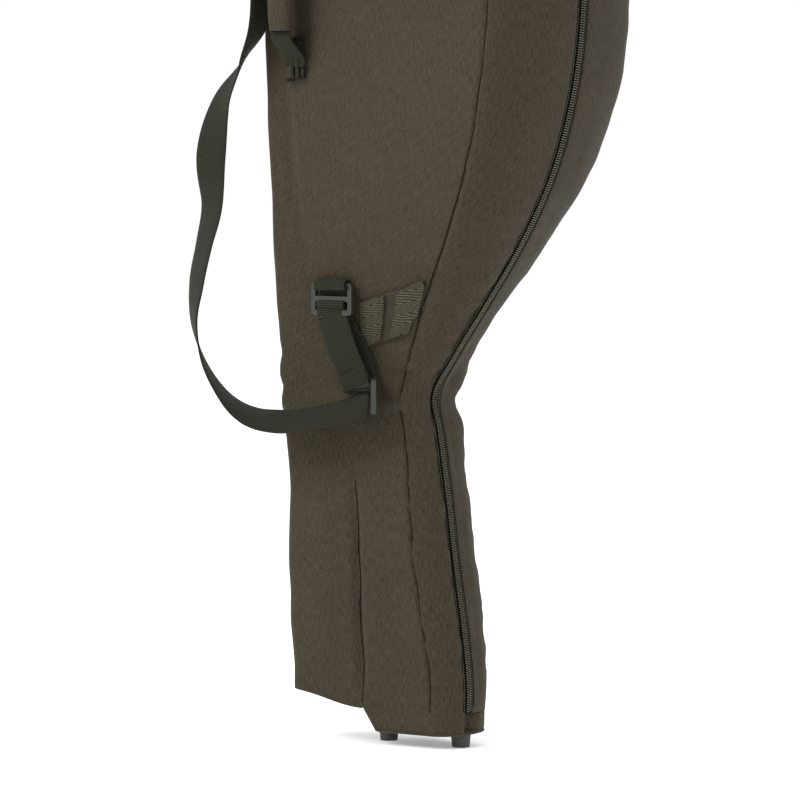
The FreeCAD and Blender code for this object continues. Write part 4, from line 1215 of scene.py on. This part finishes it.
# %% Patches
def patch(name, corners, columns, rows, lift, thickness, material):
    """corners: low-left, low-right, high-right, high-left, each (x, z)."""
    low_left, low_right, high_right, high_left = [np.array(c, float) for c in corners]
    s = np.linspace(0, 1, columns)[None, :, None]
    t = np.linspace(0, 1, rows)[:, None, None]
    low, high = low_left * (1 - s) + low_right * s, high_left * (1 - s) + high_right * s
    flat = low * (1 - t) + high * t
    x, z = flat[..., 0], flat[..., 1]
    y = -face_depth(x, z) - 4
    spots, ways = lie_on(front_skin, np.stack([x, y, z], axis=2).reshape(-1, 3), lift)
    grid = spots.reshape(rows, columns, 3)
    piece = cloth_mesh(name, [grid], material)
    maps = np.stack([np.broadcast_to(s[..., 0], x.shape) * abs(low_right[0] - low_left[0]),
                     np.broadcast_to(t[..., 0], x.shape) * abs(high_left[1] - low_left[1])], axis=2)
    write_map(piece.data, maps / 1000)
    wall = piece.modifiers.new("webbing", "SOLIDIFY")
    wall.thickness = thickness / 1000
    wall.offset = -1
    round_edge = piece.modifiers.new("soft_edge", "BEVEL")
    round_edge.width = thickness * 0.00028
    round_edge.segments = 2
    round_edge.limit_method = "ANGLE"
    settle(piece)
    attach(piece, "sleeve")
    return piece, grid, ways.reshape(rows, columns, 3)


def stitch_path(grid, ways, route, lift):
    """Follow (column, row) shares across a patch and give a line of points on it."""
    rows, columns = grid.shape[:2]
    line, out = [], []
    for (s0, t0), (s1, t1) in zip(route, route[1:]):
        for step in np.linspace(0, 1, 12)[:-1]:
            s, t = s0 + (s1 - s0) * step, t0 + (t1 - t0) * step
            column, row = s * (columns - 1), t * (rows - 1)
            i, j = min(int(row), rows - 2), min(int(column), columns - 2)
            u, v = row - i, column - j
            spot = ((grid[i, j] * (1 - v) + grid[i, j + 1] * v) * (1 - u)
                    + (grid[i + 1, j] * (1 - v) + grid[i + 1, j + 1] * v) * u)
            line.append(spot + ways[i, j] * lift)
            out.append(ways[i, j])
    return np.array(line), np.array(out)


def belly_seam_x(height):
    return float(belly(height) - setback(height))


anchor, anchor_grid, anchor_ways = patch(
    "anchor_band", [(98, 376), (belly_seam_x(394) - 0.5, 394), (belly_seam_x(446) - 0.5, 446),
                    (98, 419)], 22, 12, 2.4, 2.4, anchor_webbing)
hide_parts("anchor_band_lower")
box_route = [(0.12, 0.12), (0.88, 0.12), (0.88, 0.88), (0.12, 0.88), (0.12, 0.12), (0.88, 0.88)]
cross_route = [(0.12, 0.88), (0.88, 0.12)]
stitch_lines = []
HANDLE_HEIGHT = 743
TAB_DISTANCE = 91
TAB_HALF = 19.5
for label, way, node in (("lower", -1, "handle_tab_lower"), ("upper", 1, "handle_tab_upper")):
    low = HANDLE_HEIGHT + way * TAB_DISTANCE - TAB_HALF
    high = low + 2 * TAB_HALF
    tab, grid, ways = patch("handle_tab_" + label + "_webbing", [
        (35, low), (69, low), (69, high), (35, high)], 10, 12, 4.4, 4.2, webbing)
    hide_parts(node)
    stitch_lines.append(stitch_path(grid, ways, box_route, 0.2))
    stitch_lines.append(stitch_path(grid, ways, cross_route, 0.2))
for route in ([(0.02, 0.05), (0.98, 0.05)], [(0.02, 0.95), (0.98, 0.95)]):
    stitch_lines.append(stitch_path(anchor_grid, anchor_ways, route, 0.15))
patch_stitches = beads("patch_stitches", stitch_lines, 3.1, (2.5, 0.8, 0.6), thread, 0.12)
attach(patch_stitches, "sleeve")
print("patch stitches:", len(patch_stitches.data.polygons), "faces")

# %% [markdown]
# ## Carry handle
# The grip is a tube of canvas rolled round foam and closed by a seam along its back.  It
# is fullest in the middle and gathered at its ends, where the webbing comes out.

# %% Grip
grip_low, grip_high = corners_of("handle_grip")
grip_middle = (grip_low + grip_high) / 2
grip_size = grip_high - grip_low
t = np.linspace(-1, 1, 45)[:, None]
angle = np.linspace(0, 2 * np.pi, 41)[None, :]
SQUARENESS = 2.6
full = 1 - 0.10 * np.abs(t) ** 6
round_x = np.sign(np.cos(angle)) * np.abs(np.cos(angle)) ** (2 / SQUARENESS)
round_y = np.sign(np.sin(angle)) * np.abs(np.sin(angle)) ** (2 / SQUARENESS)
grip = np.stack([grip_middle[0] + round_x * grip_size[0] / 2 * full,
                 grip_middle[1] + round_y * grip_size[1] / 2 * full,
                 grip_middle[2] + t * grip_size[2] / 2 * np.ones_like(angle)], axis=2)
creases = 0.55 * swell(grip * np.array([1, 1, 0.35]), 11, 70.0)
creases[:, -1] = creases[:, 0]
seam_groove = -0.9 * bell(np.degrees(angle), 62, 4) - 0.8 * bell(np.abs(t), 0.93, 0.02)
outward = np.stack([np.cos(angle) * np.ones_like(t), np.sin(angle) * np.ones_like(t),
                    np.zeros_like(t * angle)], axis=2)
grip = grip + outward * (creases + seam_groove)[..., None]
caps = [grip_middle + (grip[i] - grip_middle) * np.array([shrink, shrink, 1])
        for i, shrink in ((0, 0.75), (0, 0.93), (-1, 0.93), (-1, 0.75))]
caps[1][:, 2] -= 0.6
caps[2][:, 2] += 0.6
grip = np.concatenate([[caps[0], caps[1]], grip, [caps[2], caps[3]]])
grip_piece = cloth_mesh("handle_grip_cover", [grip], canvas)
close_ends(grip_piece)
grip_piece.data.shade_smooth()
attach(grip_piece, "carry_handle")
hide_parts("handle_grip", "handle_webbing")

# %% Webbing from the tabs into the grip
NARROW = 25.0
HANDLE_X = 52.0
grip_y = grip_middle[1]
for label, way, node in (("lower", -1, "handle_end_lower"), ("upper", 1, "handle_end_upper")):
    tab_z = HANDLE_HEIGHT + way * TAB_DISTANCE
    tab_y = -float(face_depth(HANDLE_X, tab_z)) - 6.5
    end_z = HANDLE_HEIGHT + way * 64.0
    route = [(tab_y + 0.6, tab_z + way * 8), (tab_y, tab_z),
             (tab_y * 0.6 + grip_y * 0.4, tab_z - way * 7), (grip_y, end_z + way * 9),
             (grip_y, end_z)]
    run = smooth(np.array([(HANDLE_X, y, z) for y, z in route]), 8)
    piece = band("handle_webbing_" + label, run, (1, 0, 0), NARROW, WEBBING, webbing)
    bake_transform(piece)
    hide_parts(node)
print("grip %.0f by %.0f by %.0f mm" % tuple(grip_size))

# %% [markdown]
# ## Bindings, inner panels and small straps
# The last soft pieces are the binding round the pocket's mouth, the padded divider and
# spine wall inside, the pocket's bottom, two rod straps and the loop on the crown.

# %% Pocket binding
mouth = pocket_round(np.array([pocket_top]))
mouth = np.stack([mouth[0][0], mouth[1][0]], axis=1)[4:-1]
turn = np.gradient(mouth, axis=0)
turn /= np.linalg.norm(turn, axis=1, keepdims=True)
inward = np.stack([-turn[:, 1], turn[:, 0]], axis=1)
profile = [(-1.0, -11), (-1.2, 0), (0.2, 1.6), (4.0, 2.0), (8.0, 1.6), (9.2, 0), (9.0, -11)]
binding = np.array([np.concatenate([mouth + inward * depth_in,
                                    np.full((len(mouth), 1), pocket_top + rise)], axis=1)
                    for depth_in, rise in profile])
binding = np.concatenate([binding, binding[:1]])
binding_piece = cloth_mesh("pocket_binding", [binding], webbing)
close_ends(binding_piece)
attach(binding_piece, "sleeve")
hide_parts("pocket_mouth_binding")


# %% Divider, spine wall and pocket bottom
def inner_wall(name, low, high, left, right, front_gap, back_y, node, finish):
    """A quilted board between two heights, closed and a little crowned."""
    z = np.linspace(low, high, max(8, int((high - low) / 12)))
    front = -face_depth(np.full_like(z, (left + right) / 2), z) + front_gap
    up = [(0, share) for share in np.linspace(0, 1, 5)]
    section = up + [(1, share) for side, share in reversed(up)] + [(0, 0)]
    rings = []
    for side, share in section:
        x = np.full_like(z, left + (right - left) * side)
        y = front + (back_y - front) * share
        rings.append(np.stack([x, y, z], axis=1))
    grid = np.stack(rings, axis=1)
    middle = (left + right) / 2
    crowned = 1 + 0.12 * np.sin(np.linspace(0, np.pi, len(z)))[:, None]
    grid[..., 0] = middle + (grid[..., 0] - middle) * crowned
    piece = cloth_mesh(name, [grid], finish)
    close_ends(piece)
    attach(piece, "sleeve")
    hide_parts(node)
    return piece


divider = inner_wall("divider_cover", zip_start, pocket_top, 80.8, 87.2, 9, rear_face - 9,
                     "divider_panel", lining)
spine_wall = inner_wall("spine_wall_cover", pocket_top + 1, zip_end - 1, 84.4, 87.4, 9,
                        rear_face - 1.5, "upper_spine_panel", lining)
hem_columns = pocket_round(np.array([40.0]))
edge_loop = np.stack([hem_columns[0][0], hem_columns[1][0]], axis=1)
centre = edge_loop.mean(axis=0)
rings = []
for rise, shrink in ((6, 0.2), (5.5, 0.8), (4, 0.93), (1.5, 0.965), (0.2, 0.95), (0.4, 0.8),
                     (0.8, 0.2)):
    loop = centre + (edge_loop - centre) * shrink
    rings.append(np.column_stack([loop, hem_height(loop[:, 0]) + rise]))
rings = np.array(rings)
rings = np.concatenate([rings, rings[:, :1]], axis=1)
bottom = cloth_mesh("pocket_bottom_cloth", [rings], canvas)
close_ends(bottom)
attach(bottom, "sleeve")
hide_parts("pocket_bottom")

# %% Rod straps and crown loop
for label in ("lower", "upper"):
    low, high = corners_of("rod_strap_" + label)
    y = np.linspace(low[1] + 1, high[1] - 1, 24)
    sag = 2.2 * np.sin(np.linspace(0, np.pi, 24))
    run = np.stack([np.full(24, (low[0] + high[0]) / 2) + sag, y,
                    np.full(24, (low[2] + high[2]) / 2)], axis=1)
    piece = band("rod_strap_" + label + "_webbing", run, (0, 0, 1), NARROW, WEBBING, webbing)
    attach(piece, "sleeve")
    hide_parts("rod_strap_" + label)
low, high = corners_of("hanging_loop")
middle = (low + high) / 2
radius = (high[0] - low[0]) / 2 - 1
angle = np.linspace(np.pi, 0, 25)
arch = np.stack([middle[0] + radius * np.cos(angle), np.full(25, middle[1]),
                 high[2] - 1 - radius + radius * np.sin(angle)], axis=1)
leg = np.linspace(low[2] - 2, arch[0, 2] - 2, 8)
up_leg = np.stack([np.full(8, arch[0, 0]), np.full(8, middle[1]), leg], axis=1)
down_leg = np.stack([np.full(8, arch[-1, 0]), np.full(8, middle[1]), leg[::-1]], axis=1)
run = np.concatenate([up_leg, arch, down_leg])
crown_loop = band("crown_loop_webbing", run, (0, 1, 0), NARROW, WEBBING, webbing)
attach(crown_loop, "sleeve")
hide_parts("hanging_loop")

# %% [markdown]
# ## Finishes for the moulded and metal pieces
# Rings, feet, screws and the slider keep their own shapes.  Only their material slots
# are filled.

# %% Finish the carried-over nodes
FINISHES = {
    olive_plastic: ("strap_ring", "upper_ring", "strap_adjuster"),
    foot_rubber: ("foot_spine", "foot_belly"),
    plated_steel: ("foot_screws", "foot_washers", "foot_nuts"),
    dark_metal: ("zip_slider", "zip_pull_bail", "zip_puller", "zip_bottom_stop", "zip_top_stop"),
    board_plastic: ("base_board",),
}
for finish, nodes in FINISHES.items():
    for node in nodes:
        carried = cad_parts[node].data
        carried.materials.clear()
        carried.materials.append(finish)
print("finished nodes:", sum(len(nodes) for nodes in FINISHES.values()))

# %% [markdown]
# ## Camera, floor and light
# The sleeve is seen a little from the zip side, from low down and far away, which keeps
# its long edges nearly parallel.  The floor is pale, the air is white, and three broad
# soft lamps give the even light of a small studio.

# %% Camera
VIEW_TURN = math.radians(40)
VIEW_TILT = math.radians(3)
DISTANCE = 5.2
FIELD = 0.774
SENSOR = 36
AIM_ASIDE = 0.078
AIM_HEIGHT = 323
right_way = Vector((math.cos(VIEW_TURN), math.sin(VIEW_TURN), 0))
back_way = Vector((math.sin(VIEW_TURN), -math.cos(VIEW_TURN), 0)) * math.cos(VIEW_TILT)
back_way.z = math.sin(VIEW_TILT)
aim = place(0, 0, AIM_HEIGHT) + right_way * AIM_ASIDE
camera_data = bpy.data.cameras.new("studio_camera")
camera_data.sensor_width = SENSOR
camera_data.lens = SENSOR * DISTANCE / FIELD
camera = linked("studio_camera", camera_data)
camera.location = aim + back_way * DISTANCE
camera.rotation_euler = (aim - camera.location).to_track_quat("-Z", "Y").to_euler()
bpy.context.scene.camera = camera
print("camera lens %.0f mm" % camera_data.lens)


# %% Floor and light
REACH = 9.0
corners = [(x * REACH, y * REACH, -0.0005) for x, y in ((-1, -1), (1, -1), (1, 1), (-1, 1))]
floor_mesh = bpy.data.meshes.new("studio_floor")
floor_mesh.from_pydata(corners, [], [(0, 1, 2, 3)])
floor = linked("studio_floor", floor_mesh)
floor_mesh.materials.append(Recipe("pale_floor").finish(
    Base_Color=(0.95, 0.95, 0.95, 1), Roughness=0.9, Emission_Color=(1, 1, 1, 1),
    Emission_Strength=0.25))


def lamp(name, azimuth, height, distance, size, power):
    data = bpy.data.lights.new(name, "AREA")
    data.energy = power
    data.size = size
    light = linked(name, data)
    angle = math.radians(azimuth)
    light.location = Vector((math.sin(angle) * distance, -math.cos(angle) * distance, height))
    way = Vector((0, 0, 0.7)) - light.location
    light.rotation_euler = way.to_track_quat("-Z", "Y").to_euler()


lamp("key_lamp", -15, 3.0, 3.2, 1.6, 95)
lamp("fill_lamp", 95, 1.8, 3.6, 2.6, 10)
lamp("rear_lamp", 200, 2.6, 3.6, 2.2, 18)
world = bpy.data.worlds.new("studio_air")
world.use_nodes = True
air = world.node_tree.nodes["Background"].inputs
air["Color"].default_value = (1, 1, 1, 1)
air["Strength"].default_value = 1.0
bpy.context.scene.world = world
bpy.context.scene.view_settings.view_transform = "Standard"
print("lights:", len(bpy.data.lights))
